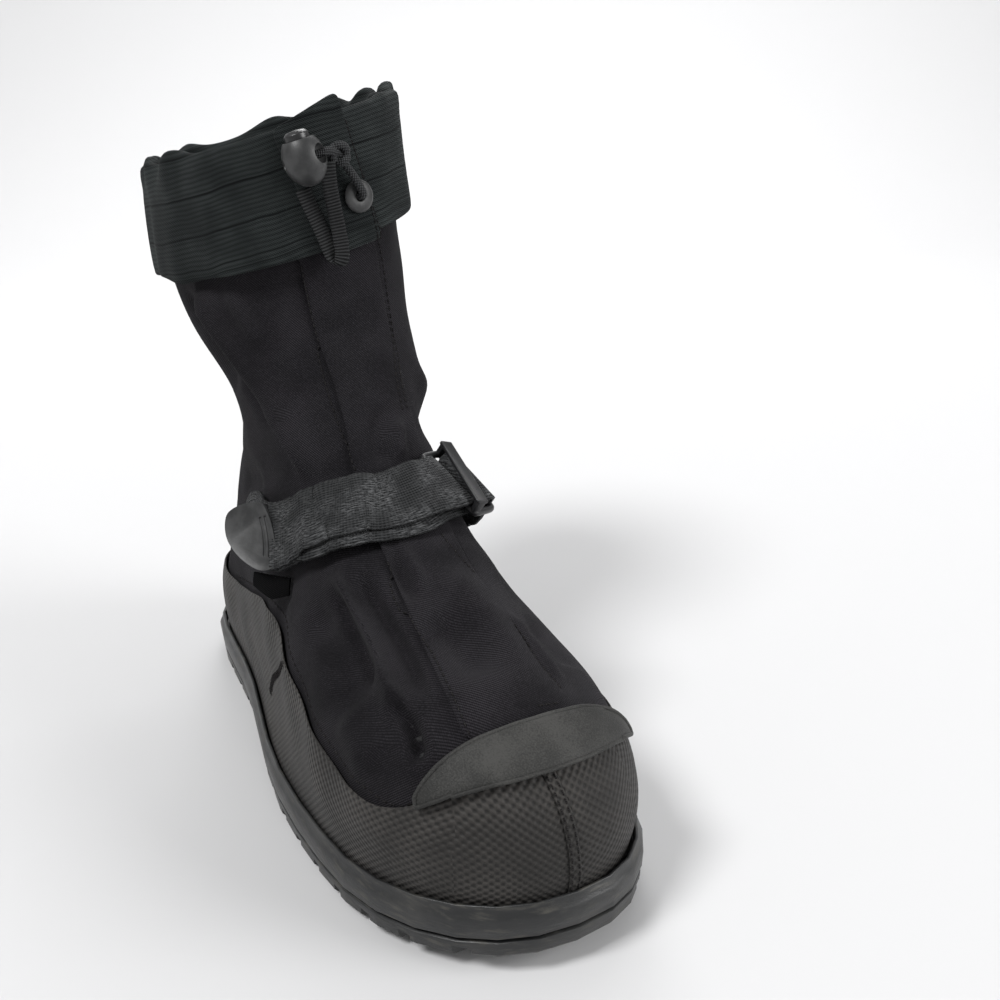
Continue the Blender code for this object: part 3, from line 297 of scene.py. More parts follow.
def copy_of(node_name, name, levels, angle=40):
    """A copy of a CAD node's solid: merged, in four-sided faces again, and smoothed."""
    made = bpy.data.objects.new(name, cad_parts[node_name].data.copy())
    bpy.context.collection.objects.link(made)
    choose(made)
    bpy.ops.object.mode_set(mode="EDIT")
    bpy.ops.mesh.select_all(action="SELECT")
    bpy.ops.mesh.customdata_custom_splitnormals_clear()
    bpy.ops.mesh.remove_doubles(threshold=0.00002)
    bpy.ops.mesh.tris_convert_to_quads(face_threshold=radians(angle), shape_threshold=radians(angle))
    bpy.ops.object.mode_set(mode="OBJECT")
    if levels:
        apply_step(made, "SUBSURF", levels=levels, render_levels=levels)
    made.data.shade_smooth()
    return made


def apply_step(piece, kind, **settings):
    """Adds a modifier with its settings and applies it."""
    bpy.context.view_layer.objects.active = piece
    step = piece.modifiers.new(kind.lower(), kind)
    for name, value in settings.items():
        setattr(step, name, value)
    bpy.ops.object.modifier_apply(modifier=step.name)


def soften_edges(piece, width, segments=2, angle=50):
    """Rounds the edges that are sharper than an angle in degrees."""
    apply_step(piece, "BEVEL", width=width, segments=segments, limit_method="ANGLE",
               angle_limit=radians(angle))


# The knot is the same cord pulled tight: two turns round itself.
knot_low, knot_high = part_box("cord_knot")
KNOT_MIDDLE = (knot_low + knot_high) / 2
KNOT_REACH = 0.0030
turns = []
for k in range(64):
    angle = 4 * pi * k / 63
    lean = sin(1.5 * angle)
    turns.append(KNOT_MIDDLE + Vector((KNOT_REACH * cos(angle) * (1 - 0.15 * lean), 0.0017 * lean,
                                       KNOT_REACH * sin(angle) * (1 - 0.15 * lean))))
cord_knot = round_wire("tied_knot", turns, 0.0018, 4)
finish_piece(cord_knot, cord_finish, "shoe", "cord_elastic", "cord_knot")

# The loop under the lock is a narrow flat elastic woven in fine ribs. It leaves the lock's side, goes down
# over the tab to the hem, folds under there, and goes back up under itself.
LOOP_WIDTH = 0.0062
LOOP_WALL = 0.0010
TAB_OUT = Vector((-0.10, -0.97, 0.20)).normalized()
LOOP_PATH = even_line([Vector(p) / 1000 for p in (
    (-1.7, -99.4, 263.0), (-1.6, -99.3, 258.9), (-0.8, -97.9, 252.0), (1.0, -96.4, 243.0),
    (2.4, -96.0, 234.0), (3.0, -96.3, 226.5), (2.2, -96.1, 222.6), (1.0, -95.0, 221.4),
    (0.0, -94.1, 222.8), (-1.5, -93.7, 227.5), (-4.6, -92.5, 237.0), (-8.0, -91.3, 246.0),
    (-10.0, -90.8, 252.0))], 0.0012)


def flat_band(name, line, outs, width, wall, rows=6):
    """A woven band along a line, with round edges and a UV map in metres: along it, then across it."""
    count = len(line)
    ring = []
    for k in range(rows + 1):
        ring.append((-0.5 + k / rows, 0.5))
    for k in range(rows + 1):
        ring.append((0.5 - k / rows, -0.5))
    points, faces, flat = [], [], []
    gone = 0.0
    for n, place in enumerate(line):
        along = (line[min(n + 1, count - 1)] - line[max(n - 1, 0)]).normalized()
        side = along.cross(outs[n]).normalized()
        out = side.cross(along).normalized()
        if n:
            gone += (place - line[n - 1]).length
        for across, rise in ring:
            edge = max(0.0, abs(across) * 2 - 0.8) / 0.2
            points.append(place + side * (across * width) + out * (rise * wall * (1 - 0.55 * edge * edge)))
            flat.append((gone, across * width + (0.02 if rise < 0 else 0.0)))
    size = len(ring)
    for n in range(count - 1):
        for k in range(size):
            after = (k + 1) % size
            faces.append((n * size + k, n * size + after, (n + 1) * size + after, (n + 1) * size + k))
    faces.append(tuple(range(size))[::-1])
    faces.append(tuple((count - 1) * size + k for k in range(size)))
    made = new_piece(name, points, faces)
    uv = made.data.uv_layers.new(name="weave_map")
    for loop in made.data.loops:
        uv.data[loop.index].uv = flat[loop.vertex_index]
    choose(made)
    bpy.ops.object.mode_set(mode="EDIT")
    bpy.ops.mesh.select_all(action="SELECT")
    bpy.ops.mesh.normals_make_consistent(inside=False)
    bpy.ops.object.mode_set(mode="OBJECT")
    made.data.shade_smooth()
    made.select_set(False)
    return made


loop_outs = []
for k, point in enumerate(LOOP_PATH):
    share = k / (len(LOOP_PATH) - 1)
    turn = ramp(share, 0.50, 0.16) * pi
    up = Vector((0, 0, 1)) - TAB_OUT * TAB_OUT.z
    loop_outs.append((TAB_OUT * cos(turn) - up.normalized() * sin(turn)).normalized())
lock_loop = flat_band("flat_elastic_loop", LOOP_PATH, loop_outs, LOOP_WIDTH, LOOP_WALL)
elastic_finish, elastic_shader = new_finish("flat_elastic", (0.03, 0.03, 0.031), 0.8, 0.2)
spot = place_on(elastic_finish, "weave_map")
loop_ribs = ripples(elastic_finish, spot, (1, 0, 0), 0.0013)
loop_grey = blend_colours(elastic_finish, band(elastic_finish, loop_ribs, -0.9, 0.5),
                          (0.006, 0.006, 0.0065), (0.030, 0.031, 0.032))
colour_from(elastic_finish, elastic_shader, loop_grey)
raise_relief(elastic_finish, elastic_shader, (loop_ribs, 0.00035))
finish_piece(lock_loop, elastic_finish, "shoe", "cord_elastic", "lock_loop")

# The sole is one dark rubber moulding: a treaded outsole and a midsole with a raised lip all round.
sole_finish, sole_shader = new_finish("sole_rubber", (0.010, 0.011, 0.012), 0.40, 0.5)
place = place_on(sole_finish)
dust = speckle(sole_finish, place, 0.018, 6.0)
flattened = node(sole_finish, "ShaderNodeMapping", [("Vector", place), ("Scale", (1, 1, 5))]).outputs[0]
scuffs = speckle(sole_finish, flattened, 0.010, 8.0)
colour_from(sole_finish, sole_shader, blend_colours(
    sole_finish, band(sole_finish, scuffs, 0.50, 0.72),
    blend_colours(sole_finish, band(sole_finish, dust, 0.40, 0.75), (0.0115, 0.0120, 0.0125),
                  (0.0255, 0.0255, 0.0248)),
    (0.046, 0.044, 0.038)))
rough_from(sole_finish, sole_shader, scuffs, 0.24, 0.62)
raise_relief(sole_finish, sole_shader, (speckle(sole_finish, place, 0.0006), 0.00006), (scuffs, 0.00025))
outsole = copy_of("outsole", "treaded_outsole", 0)
soften_edges(outsole, 0.0005)
finish_piece(outsole, sole_finish, "shoe", "sole_rubber", "outsole")
midsole = copy_of("midsole", "lipped_midsole", 0)
soften_edges(midsole, 0.0004)
finish_piece(midsole, sole_finish, "shoe", "sole_rubber", "midsole")

# The insole is a thin felt sheet that lies in the sole.
felt_finish, felt_shader = new_finish("insole_felt", (0.03, 0.03, 0.032), 0.95, 0.1)
place = place_on(felt_finish)
fluff = speckle(felt_finish, place, 0.0012, 6.0)
felt_grey = blend_colours(felt_finish, fluff, (0.012, 0.012, 0.013), (0.05, 0.05, 0.052))
colour_from(felt_finish, felt_shader, felt_grey)
raise_relief(felt_finish, felt_shader, (fluff, 0.0006))
insole = copy_of("insole", "felt_insole", 0)
finish_piece(insole, felt_finish, "shoe", "insole_felt", "insole")

# The upper is one soft shell of near-black twill with a soft lining. Each crease is a line on the cloth, with
# how far it rises or sinks, how wide it is on its two sides, and how far it leans over. Many of the lines were
# printed by another program, which cast marks picked in the photo onto the shell.
SHELL_MIDDLE = [(-0.300, 0.000, 0.030), (-0.200, 0.002, 0.050), (-0.120, 0.000, 0.070),
                (-0.050, 0.001, 0.120), (-0.030, 0.000, 0.200), (-0.020, 0.000, 0.290)]
LINED_WALL = 0.0016


def crease(points, height, near, far, taper=0.2, lean=0.0):
    """A fold line in millimetres: its height, its widths to its left and right, and how far it leans."""
    return [Vector(p) / 1000 for p in points], height / 1000, near / 1000, far / 1000, taper, lean


CREASES = [
    crease([(-51, -42, 217), (-47, -50, 204), (-42, -59, 191), (-37.6, -68, 179), (-33, -78, 168),
            (-30, -87, 159), (-27, -96, 152), (-25.6, -103, 143), (-25, -112, 134)], 6.0, 9, 2.6, 0.2, -0.25),
    crease([(-44, -49, 190), (-38, -61, 176), (-32, -74, 163), (-27, -88, 152)], -3.6, 6, 5, 0.25),
    crease([(-52, -27, 205), (-46, -38, 190), (-40, -48, 175), (-35, -57, 160)], -3.4, 9, 7),
    crease([(-41, -63, 215), (-36.6, -68, 203), (-32, -74, 192), (-30.6, -77, 184)], 2.6, 4, 3, 0.3),
    crease([(16, -108, 164), (8, -114, 156), (4.5, -120, 148), (8, -127, 141)], -3.4, 5, 5, 0.3),
    crease([(18, -112, 158), (15.5, -118, 151), (12.5, -128, 140)], 3.2, 2.2, 4, 0.3),
    crease([(-28, -146, 113), (-29.5, -160, 107), (-29.5, -176, 101), (-29.6, -187, 97.5), (-30.7, -204, 91),
            (-30.7, -220, 85.6), (-30, -229, 82)], 7.0, 2.2, 4.6, 0.18, 0.35),
    crease([(-33, -150, 107), (-34, -166, 101), (-34.5, -184, 95), (-35, -204, 87)], -5.6, 5, 4, 0.2),
    crease([(-42, -140, 95), (-41, -155, 92), (-40, -175, 89), (-39, -193, 85), (-38, -206, 81)],
           -4.8, 9, 8, 0.25),
    crease([(-34, -214, 86), (-31.5, -224, 83.5), (-31.6, -231, 79), (-34, -237, 73)], -6.2, 3.0, 2.4, 0.22),
    crease([(-44, -196, 78), (-46, -212, 72), (-44, -226, 66)], 3.6, 9, 9, 0.3),
    crease([(-21.5, -156, 114), (-22.5, -176, 106), (-22, -196, 99.5), (-22.5, -212, 94), (-23.5, -226, 88)],
           -4.2, 3.2, 3.2, 0.22),
    crease([(-5, -150, 124), (-7, -164, 117.5), (-9, -176, 112.5), (-10.5, -188, 107.5)],
           -3.6, 3.4, 3.0, 0.3),
    crease([(-2, -152, 122), (-3, -168, 116), (-4, -184, 110)], 2.0, 2.4, 4, 0.3),
    crease([(-5, -192, 106), (-4, -205, 102), (-2, -219, 97), (-1, -230, 92)], -3.4, 8, 8, 0.3),
    crease([(10, -172, 115), (12, -194, 107), (15, -214, 99), (19, -232, 91)], 2.6, 8, 7, 0.3),
    crease([(24, -196, 104), (27, -211, 97), (29.6, -224, 90.5), (29, -236, 86)], 2.6, 3, 5, 0.3),
    crease([(34, -190, 92), (38, -205, 84), (40, -220, 76)], -3.4, 8, 8, 0.3),
    crease([(40, -60, 135), (36, -84, 140), (26, -104, 150)], -3.2, 7, 8, 0.3),
    crease([(45, -48, 165), (40, -66, 160), (30, -90, 160)], 3.0, 8, 7, 0.3),
    crease([(-38, -30, 112), (-37, -52, 118), (-36, -78, 124)], -2.6, 8, 8, 0.3),
    crease([(0, 9, 125), (-18, 3, 135), (-30, -16, 146)], -2.8, 7, 7, 0.3),
    crease([(8, 7, 128), (22, 0, 138), (34, -18, 148)], -2.8, 7, 7, 0.3),
    crease([(0, 4, 140), (-16, 0, 150), (-28, -14, 160)], 2.4, 7, 6, 0.3),
    crease([(10, 3, 142), (24, -2, 152), (36, -18, 160)], 2.4, 7, 6, 0.3),
]
CREASE_STRENGTH = 1.15
LEAN_STRENGTH = 0.5
CREASE_REACH = 0.020
STRAP_BAND = 0.0165


def collar_height(x, y):
    """How high the collar's edge lies over a place."""
    return 0.277 - 0.133 * (y + 0.08) + 0.25 * x


def smooth_share(value, low, high):
    """0 under low, 1 over high, smooth between them."""
    share = np.clip((value - low) / (high - low), 0, 1)
    return share * share * (3 - 2 * share)


def read_points(mesh):
    """The mesh's points and its points' normals, as two tables."""
    places = np.zeros(len(mesh.vertices) * 3)
    normals = np.zeros(len(mesh.vertices) * 3)
    mesh.vertices.foreach_get("co", places)
    mesh.vertex_normals.foreach_get("vector", normals)
    return places.reshape(-1, 3), normals.reshape(-1, 3)


def side_of_wall(places, normals):
    """1 where a point is on the outer face of the shell, -1 where it is on the lining."""
    table = np.array(SHELL_MIDDLE)
    middle = np.stack([np.interp(places[:, 1], table[:, 0], table[:, 1]), places[:, 1],
                       np.interp(places[:, 1], table[:, 0], table[:, 2])], 1)
    above = smooth_share(places[:, 2], 0.100, 0.150)
    behind = smooth_share(places[:, 1], -0.030, 0)
    high = np.maximum(above, behind)[:, None]
    shaft = np.stack([np.full(len(places), 0.002), np.full(len(places), -0.035), places[:, 2]], 1)
    middle = middle * (1 - high) + shaft * high
    side = np.sign(np.einsum("ij,ij->i", normals, places - middle))
    return np.where(side == 0, 1, side)


def crease_shift(places, outward):
    """How each place of the cloth moves for all the creases together."""
    total = np.zeros_like(places)
    for points, height, near, far, taper, lean in CREASES:
        line = np.array(even_line(points, 0.004))
        best = np.full(len(places), 1e9)
        beside = np.zeros(len(places))
        signed = np.zeros(len(places))
        share = np.zeros(len(places))
        leaning = np.zeros_like(places)
        count = len(line) - 1
        for k in range(count):
            step = line[k + 1] - line[k]
            at = np.clip(((places - line[k]) @ step) / (step @ step), 0, 1)
            away = places - (line[k] + at[:, None] * step)
            flat = away - outward * np.einsum("ij,ij->i", away, outward)[:, None]
            distance = np.linalg.norm(away, axis=1)
            side = np.cross(outward, step / np.linalg.norm(step))
            closer = distance < best
            best = np.where(closer, distance, best)
            beside = np.where(closer, np.linalg.norm(flat, axis=1), beside)
            signed = np.where(closer, np.einsum("ij,ij->i", flat, side), signed)
            share = np.where(closer, (k + at) / count, share)
            leaning = np.where(closer[:, None], side, leaning)
        width = np.where(signed > 0, near, far)
        ends = smooth_share(share, 0, taper) * smooth_share(1 - share, 0, taper)
        nearby = smooth_share(CREASE_REACH - best, 0, 0.006)
        amount = CREASE_STRENGTH * height * np.exp(-(beside / width) ** 2) * ends * nearby
        total += outward * amount[:, None] + leaning * (LEAN_STRENGTH * amount * lean)[:, None]
    return total


def cloth_shift(places, outward):
    """The creases and a slight unevenness, held flat under the strap, at the sole and under the cuff."""
    x, y, z = places.T
    total = crease_shift(places, outward)
    uneven = (np.sin(95 * y + 60 * z + 40 * x) * np.sin(70 * z - 55 * y + 1.3)
              + 0.5 * np.sin(170 * y - 120 * z + 90 * x + 0.7))
    total += outward * (0.0007 * uneven)[:, None]
    rise = np.einsum("ij,ij->i", total, outward)
    strap_line = 0.129 - 0.41 * (y + 0.145) - 0.02 * x
    under_strap = 1 - smooth_share(np.abs(z - strap_line), STRAP_BAND, STRAP_BAND + 0.009)
    held = np.where(rise > 0, 1 - under_strap, 1 - 0.6 * under_strap)
    held *= smooth_share(collar_height(x, y) - z, 0.040, 0.062) * smooth_share(z, 0.020, 0.050)
    return total * held[:, None]


def box_map(piece, layer="weave_map"):
    """A UV map in metres, from the nearest of the six sides, for weaves."""
    mesh = piece.data
    uv = mesh.uv_layers.new(name=layer)
    normals = np.zeros(len(mesh.polygons) * 3)
    mesh.polygons.foreach_get("normal", normals)
    normals = np.abs(normals.reshape(-1, 3))
    places = read_points(mesh)[0]
    corners = np.zeros(len(mesh.loops), int)
    mesh.loops.foreach_get("vertex_index", corners)
    sides = np.zeros(len(mesh.polygons), int)
    mesh.polygons.foreach_get("loop_total", sides)
    owner = np.repeat(np.arange(len(mesh.polygons)), sides)
    spot = places[corners]
    facing = normals[owner].argmax(1)
    flat = np.where((facing == 0)[:, None], spot[:, [1, 2]],
                    np.where((facing == 1)[:, None], spot[:, [0, 2]], spot[:, [0, 1]]))
    uv.data.foreach_set("uv", flat.ravel())


def cloth_finish(name, dark, light, pitch, depth, roughness=0.9, specular=0.06, sheen=0.02):
    """Twill cloth: fine slanting ribs, faint clouds of wear and a soft sheen."""
    finish, shader = new_finish(name, dark, roughness, specular)
    shader.inputs["Sheen Weight"].default_value = sheen
    shader.inputs["Sheen Roughness"].default_value = 0.5
    spot = place_on(finish, "weave_map")
    place = place_on(finish)
    ribs = ripples(finish, spot, (1, 1, 0), pitch)
    threads = ripples(finish, spot, (1, -1, 0), pitch * 0.8)
    weave = reckon(finish, "ADD", ribs, reckon(finish, "MULTIPLY", threads, 0.5))
    wear = speckle(finish, place, 0.030, 5.0)
    lint = speckle(finish, place, 0.0007, 2.0)
    shade = sum_of(finish, wear, 0.7, lint, 0.5)
    cloth = blend_colours(finish, band(finish, shade, 0.42, 0.78), dark, light)
    cloth = blend_colours(finish, band(finish, weave, -1.3, 1.3), [0.75 * c for c in dark], cloth)
    colour_from(finish, shader, cloth)
    raise_relief(finish, shader, (weave, depth), (lint, depth * 0.8))
    return finish


upper_finish = cloth_finish("black_twill", (0.0094, 0.0088, 0.0102), (0.0310, 0.0290, 0.0328),
                            0.0008, 0.00007)
upper = copy_of("upper", "twill_upper", 2)
plain_places, plain_normals = read_points(upper.data)
wall_side = side_of_wall(plain_places, plain_normals)
bpy.ops.object.mode_set(mode="EDIT")
bpy.ops.mesh.select_mode(type="FACE")
bpy.ops.mesh.select_all(action="DESELECT")
bpy.ops.object.mode_set(mode="OBJECT")
for face in upper.data.polygons:
    face.select = wall_side[face.vertices[0]] > 0 and face.center.y < -0.050 and 0.035 < face.center.z < 0.245
bpy.ops.object.mode_set(mode="EDIT")
bpy.ops.mesh.subdivide(number_cuts=1, smoothness=1.0, quadcorner="INNERVERT")
bpy.ops.object.mode_set(mode="OBJECT")
upper.data.shade_smooth()
plain_places, plain_normals = read_points(upper.data)
wall_side = side_of_wall(plain_places, plain_normals)
upper_out = plain_normals * wall_side[:, None]
to_outside = np.where(wall_side < 0, LINED_WALL, 0)[:, None]
upper_shift = cloth_shift(plain_places + upper_out * to_outside, upper_out)
upper.data.calc_loop_triangles()
upper_faces = [tuple(t.vertices) for t in upper.data.loop_triangles if wall_side[t.vertices[0]] > 0]
plain_shell = BVHTree.FromPolygons([Vector(p) for p in plain_places], upper_faces)
upper.data.vertices.foreach_set("co", (plain_places + upper_shift).ravel())
upper.data.update()
box_map(upper)
finish_piece(upper, upper_finish, "shoe", "upper_cloth", "upper")
lining_finish, lining_shader = new_finish("pile_lining", (0.02, 0.02, 0.021), 0.95, 0.1)
pile = speckle(lining_finish, place_on(lining_finish), 0.0016, 6.0)
lining_grey = blend_colours(lining_finish, band(lining_finish, pile, 0.35, 0.65),
                            (0.008, 0.008, 0.0085), (0.035, 0.035, 0.036))
colour_from(lining_finish, lining_shader, lining_grey)
raise_relief(lining_finish, lining_shader, (pile, 0.0008))
upper.data.materials.append(lining_finish)
for face in upper.data.polygons:
    face.material_index = 1 if wall_side[face.vertices[0]] < 0 else 0


def follow_upper(piece):
    """Moves a piece that lies on the upper just as the cloth under it moves."""
    for vertex in piece.data.vertices:
        near, _, index, _ = plain_shell.find_nearest(vertex.co)
        corners = upper_faces[index]
        weights = poly_3d_calc([Vector(plain_places[k]) for k in corners], near)
        for weight, k in zip(weights, corners):
            vertex.co += weight * Vector(upper_shift[k])
    piece.data.update()


# The rand is a band of coarse basket-woven cloth round the foot, glued to the upper over the sole's lip.
rand_finish, rand_shader = new_finish("basket_weave", (0.03, 0.028, 0.026), 0.6, 0.2)
rand_shader.inputs["Sheen Weight"].default_value = 0.03
spot = place_on(rand_finish, "weave_map")
place = place_on(rand_finish)
basket = reckon(rand_finish, "MULTIPLY", ripples(rand_finish, spot, (1, 0, 0), 0.0034),
                ripples(rand_finish, spot, (0, 1, 0), 0.0030))
wear = speckle(rand_finish, place, 0.022, 5.0)
cloth = blend_colours(rand_finish, band(rand_finish, wear, 0.35, 0.70), (0.0245, 0.0229, 0.0215),
                      (0.0465, 0.0430, 0.0400))
cloth = blend_colours(rand_finish, band(rand_finish, basket, -0.9, 0.4), (0.0145, 0.0136, 0.0129), cloth)
colour_from(rand_finish, rand_shader, cloth)
raise_relief(rand_finish, rand_shader, (basket, 0.00035), (speckle(rand_finish, place, 0.0005), 0.00008))
rand = copy_of("rand", "woven_rand", 3)
follow_upper(rand)
box_map(rand)
finish_piece(rand, rand_finish, "shoe", "rand_cloth", "rand")

# A strip of the rand's own cloth covers the seam at the toe, and is sewn down along both its edges. At the
# outer side, a zigzag seam joins the rand's two lengths. All stitches are short pieces of thread that lie on
# the cloth. The toe seam's line was printed by the program that printed the creases, and then moved.
TOE_SEAM = [(5, -262, 76), (7, -270, 67), (8, -275, 57), (8.5, -278, 45), (8.5, -279, 33), (8, -279, 27)]
SEAM_WIDTH = 0.0046
SEAM_WALL = 0.0008
THREAD = 0.00032
STITCH = 0.0021
STITCH_PITCH = 0.0031


def tree_of(*pieces):
    """All the faces of some pieces, to lay things on."""
    points, faces = [], []
    for piece in pieces:
        first = len(points)
        points += [v.co.copy() for v in piece.data.vertices]
        faces += [tuple(first + k for k in face.vertices) for face in piece.data.polygons]
    return BVHTree.FromPolygons(points, faces)


def lay_down(tree, points, step, lift):
    """An even line through points in millimetres, laid on the faces, and the way out at each place."""
    laid, outs = [], []
    for place in even_line([Vector(p) / 1000 for p in points], step):
        near, normal = tree.find_nearest(place)[:2]
        laid.append(near + normal * lift)
        outs.append(normal)
    return laid, outs


bpy.ops.mesh.primitive_cylinder_add(vertices=6, radius=THREAD, depth=STITCH)
stitch = bpy.context.object
bpy.ops.object.mode_set(mode="EDIT")
bpy.ops.mesh.select_all(action="SELECT")
bpy.ops.mesh.bevel(offset=THREAD * 0.6, segments=1)
bpy.ops.object.mode_set(mode="OBJECT")
STITCH_POINTS = [v.co.copy() for v in stitch.data.vertices]
STITCH_FACES = [tuple(f.vertices) for f in stitch.data.polygons]
bpy.data.objects.remove(stitch, do_unlink=True)
thread_finish, thread_shader = new_finish("sewing_thread", (0.020, 0.0185, 0.019), 0.75, 0.2)
twist = ripples(thread_finish, place_on(thread_finish), (1, 1, 1), 0.0006)
thread_dark = blend_colours(thread_finish, band(thread_finish, twist, -0.8, 0.8),
                            (0.008, 0.0075, 0.008), (0.030, 0.027, 0.027))
colour_from(thread_finish, thread_shader, thread_dark)
raise_relief(thread_finish, thread_shader, (twist, 0.00008))


def sew(name, tree, rows, slot, pitch=STITCH_PITCH, zigzag=0.0):
    """Rows of stitches on the faces: each a short thread, along the row or slanting to and fro."""
    points, faces = [], []
    for row in rows:
        laid, outs = lay_down(tree, row, pitch, THREAD * 0.45)
        for k in range(len(laid) - 1):
            along = (laid[k + 1] - laid[k]).normalized()
            side = along.cross(outs[k]).normalized()
            if zigzag:
                along = (along + side * (zigzag if k % 2 else -zigzag)).normalized()
            turn = along.to_track_quat("Z", "Y")
            first = len(points)
            middle = laid[k].lerp(laid[k + 1], 0.5)
            points += [middle + turn @ p for p in STITCH_POINTS]
            faces += [tuple(first + n for n in face) for face in STITCH_FACES]
    made = new_piece(name, points, faces)
    made.data.shade_smooth()
    finish_piece(made, thread_finish, "shoe", slot)


rand_tree = tree_of(rand)
seam_line, seam_outs = lay_down(rand_tree, TOE_SEAM, 0.0016, SEAM_WALL * 0.45)
toe_strip = flat_band("toe_seam_strip", seam_line, seam_outs, SEAM_WIDTH, SEAM_WALL)
finish_piece(toe_strip, rand_finish, "shoe", "rand_cloth")
strip_tree = tree_of(toe_strip)
strip_rows = [[(x + shift, y - 1.0, z) for x, y, z in TOE_SEAM] for shift in (-1.4, 1.4)]
sew("toe_seam_stitches", strip_tree, strip_rows, "rand_cloth")
RAND_JOINT = [(-49.5, -139, 70), (-52.5, -129, 61), (-54.5, -118, 52), (-56, -109, 44), (-56.5, -105, 38)]
joint_rows = [[(x, y - shift, z) for x, y, z in RAND_JOINT] for shift in (0, 1.3, 2.6)]
sew("rand_zigzag_seam", rand_tree, joint_rows, "rand_cloth", 0.0019, 1.2)

# The toe patch is a smooth grey rubber crescent with a piped rim, moulded over the rand's top at the toe.
patch_finish, patch_shader = new_finish("toe_patch_rubber", (0.03, 0.03, 0.03), 0.6, 0.2)
place = place_on(patch_finish)
cloud = speckle(patch_finish, place, 0.020, 6.0)
grain = speckle(patch_finish, place, 0.0006, 2.0)
cloud = sum_of(patch_finish, cloud, 0.6, grain, 0.4)
patch_grey = blend_colours(patch_finish, band(patch_finish, cloud, 0.38, 0.62), (0.0215, 0.0215, 0.0206),
                           (0.0480, 0.0474, 0.0450))
colour_from(patch_finish, patch_shader, patch_grey)
raise_relief(patch_finish, patch_shader, (grain, 0.00022))
patch = copy_of("toe_patch", "rubber_toe_patch", 1)


def choose_faces(piece, test):
    """Selects the faces whose middle and outward normal pass a test, and opens the piece in edit mode."""
    choose(piece)
    bpy.ops.object.mode_set(mode="EDIT")
    bpy.ops.mesh.select_mode(type="FACE")
    bpy.ops.mesh.select_all(action="DESELECT")
    bpy.ops.object.mode_set(mode="OBJECT")
    for face in piece.data.polygons:
        face.select = test(face.center, face.normal)
    bpy.ops.object.mode_set(mode="EDIT")


PATCH_OUT = Vector((0.02, -0.62, 0.78)).normalized()
choose_faces(patch, lambda middle, normal: normal.dot(PATCH_OUT) > 0.25)
patch_shape = bmesh.from_edit_mesh(patch.data)
rim_edges = [e for e in patch_shape.edges if sum(f.select for f in e.link_faces) == 1]
rim = [rim_edges[0].verts[0].co.copy(), rim_edges[0].verts[1].co.copy()]
here, used = rim_edges[0].verts[1], {rim_edges[0]}
while True:
    onward = [e for e in here.link_edges if e in set(rim_edges) - used]
    if not onward:
        break
    used.add(onward[0])
    here = onward[0].other_vert(here)
    rim.append(here.co.copy())
bpy.ops.object.mode_set(mode="OBJECT")
apply_step(patch, "SUBSURF", levels=2, render_levels=2)
patch.data.shade_smooth()
patch_rim = round_wire("patch_piping", even_line(rim[:-1] + [rim[0]], 0.002)[:-1], 0.00085, 3, closed=True)
finish_piece(patch_rim, patch_finish, "shoe", "patch_rubber")
finish_piece(patch, patch_finish, "shoe", "patch_rubber", "toe_patch")

# The front flap is a long strip of the same twill over the front. Its outer edge is sewn down, its inner edge
# is free. The program that printed the creases also printed the rows of stitches, but for the fourth row,
# which is the third one moved, and the fifth row's first point. So was the row at the rand's edge, which was
# then rounded and raised.
flap = copy_of("front_flap", "twill_front_flap", 3)
follow_upper(flap)
box_map(flap)
finish_piece(flap, upper_finish, "shoe", "upper_cloth", "front_flap")
cloth_tree = tree_of(upper, flap)
SEWN_ROWS = [
    [(-11.6, -85, 220.9), (-10.2, -86.2, 204.5), (-9.7, -93.2, 183), (-9.4, -104.7, 165),
     (-8.1, -115.8, 150.1), (-7.7, -126.1, 138.5)],
    [(-11.4, -163.7, 116.8), (-15.8, -181.6, 108.1), (-14.5, -196.2, 103.3), (-12.8, -207.7, 99.5),
     (-13.7, -222.3, 93.5), (-14.3, -233.4, 88.5), (-15, -244, 82.8)],
    [(26.8, -79.2, 229.3), (30, -80.3, 204.2), (29.4, -86.2, 188.1), (25.2, -99.5, 170.8),
     (23.7, -108.8, 158.7)],
    [(23.8, -79.6, 229.3), (27, -80.9, 204.2), (26.4, -87.2, 188.1), (22.2, -100.5, 170.8),
     (20.7, -109.8, 158.7)],
    [(15, -158, 121), (18.8, -178.6, 111.2), (20.6, -198.4, 103.2), (23.1, -211.5, 97.6),
     (23.9, -225.5, 92.1), (24.8, -238.5, 86.7)],
    [(11.3, -244.3, 86.7), (18.9, -244.7, 85.8), (28.1, -243.5, 82.8)],
]
sew("flap_stitches", cloth_tree, SEWN_ROWS, "upper_cloth")
RAND_EDGE_ROW = [(-41, -28, 60), (-43, -86, 77), (-44.5, -120, 81), (-46.5, -139, 74.5), (-50, -168, 67.5),
                 (-51, -191, 63.5), (-49.5, -212, 60.5), (-45, -229, 58.5), (-41, -239, 59), (-34, -247, 66)]
sew("rand_edge_stitches", cloth_tree, [RAND_EDGE_ROW], "upper_cloth", 0.0036)

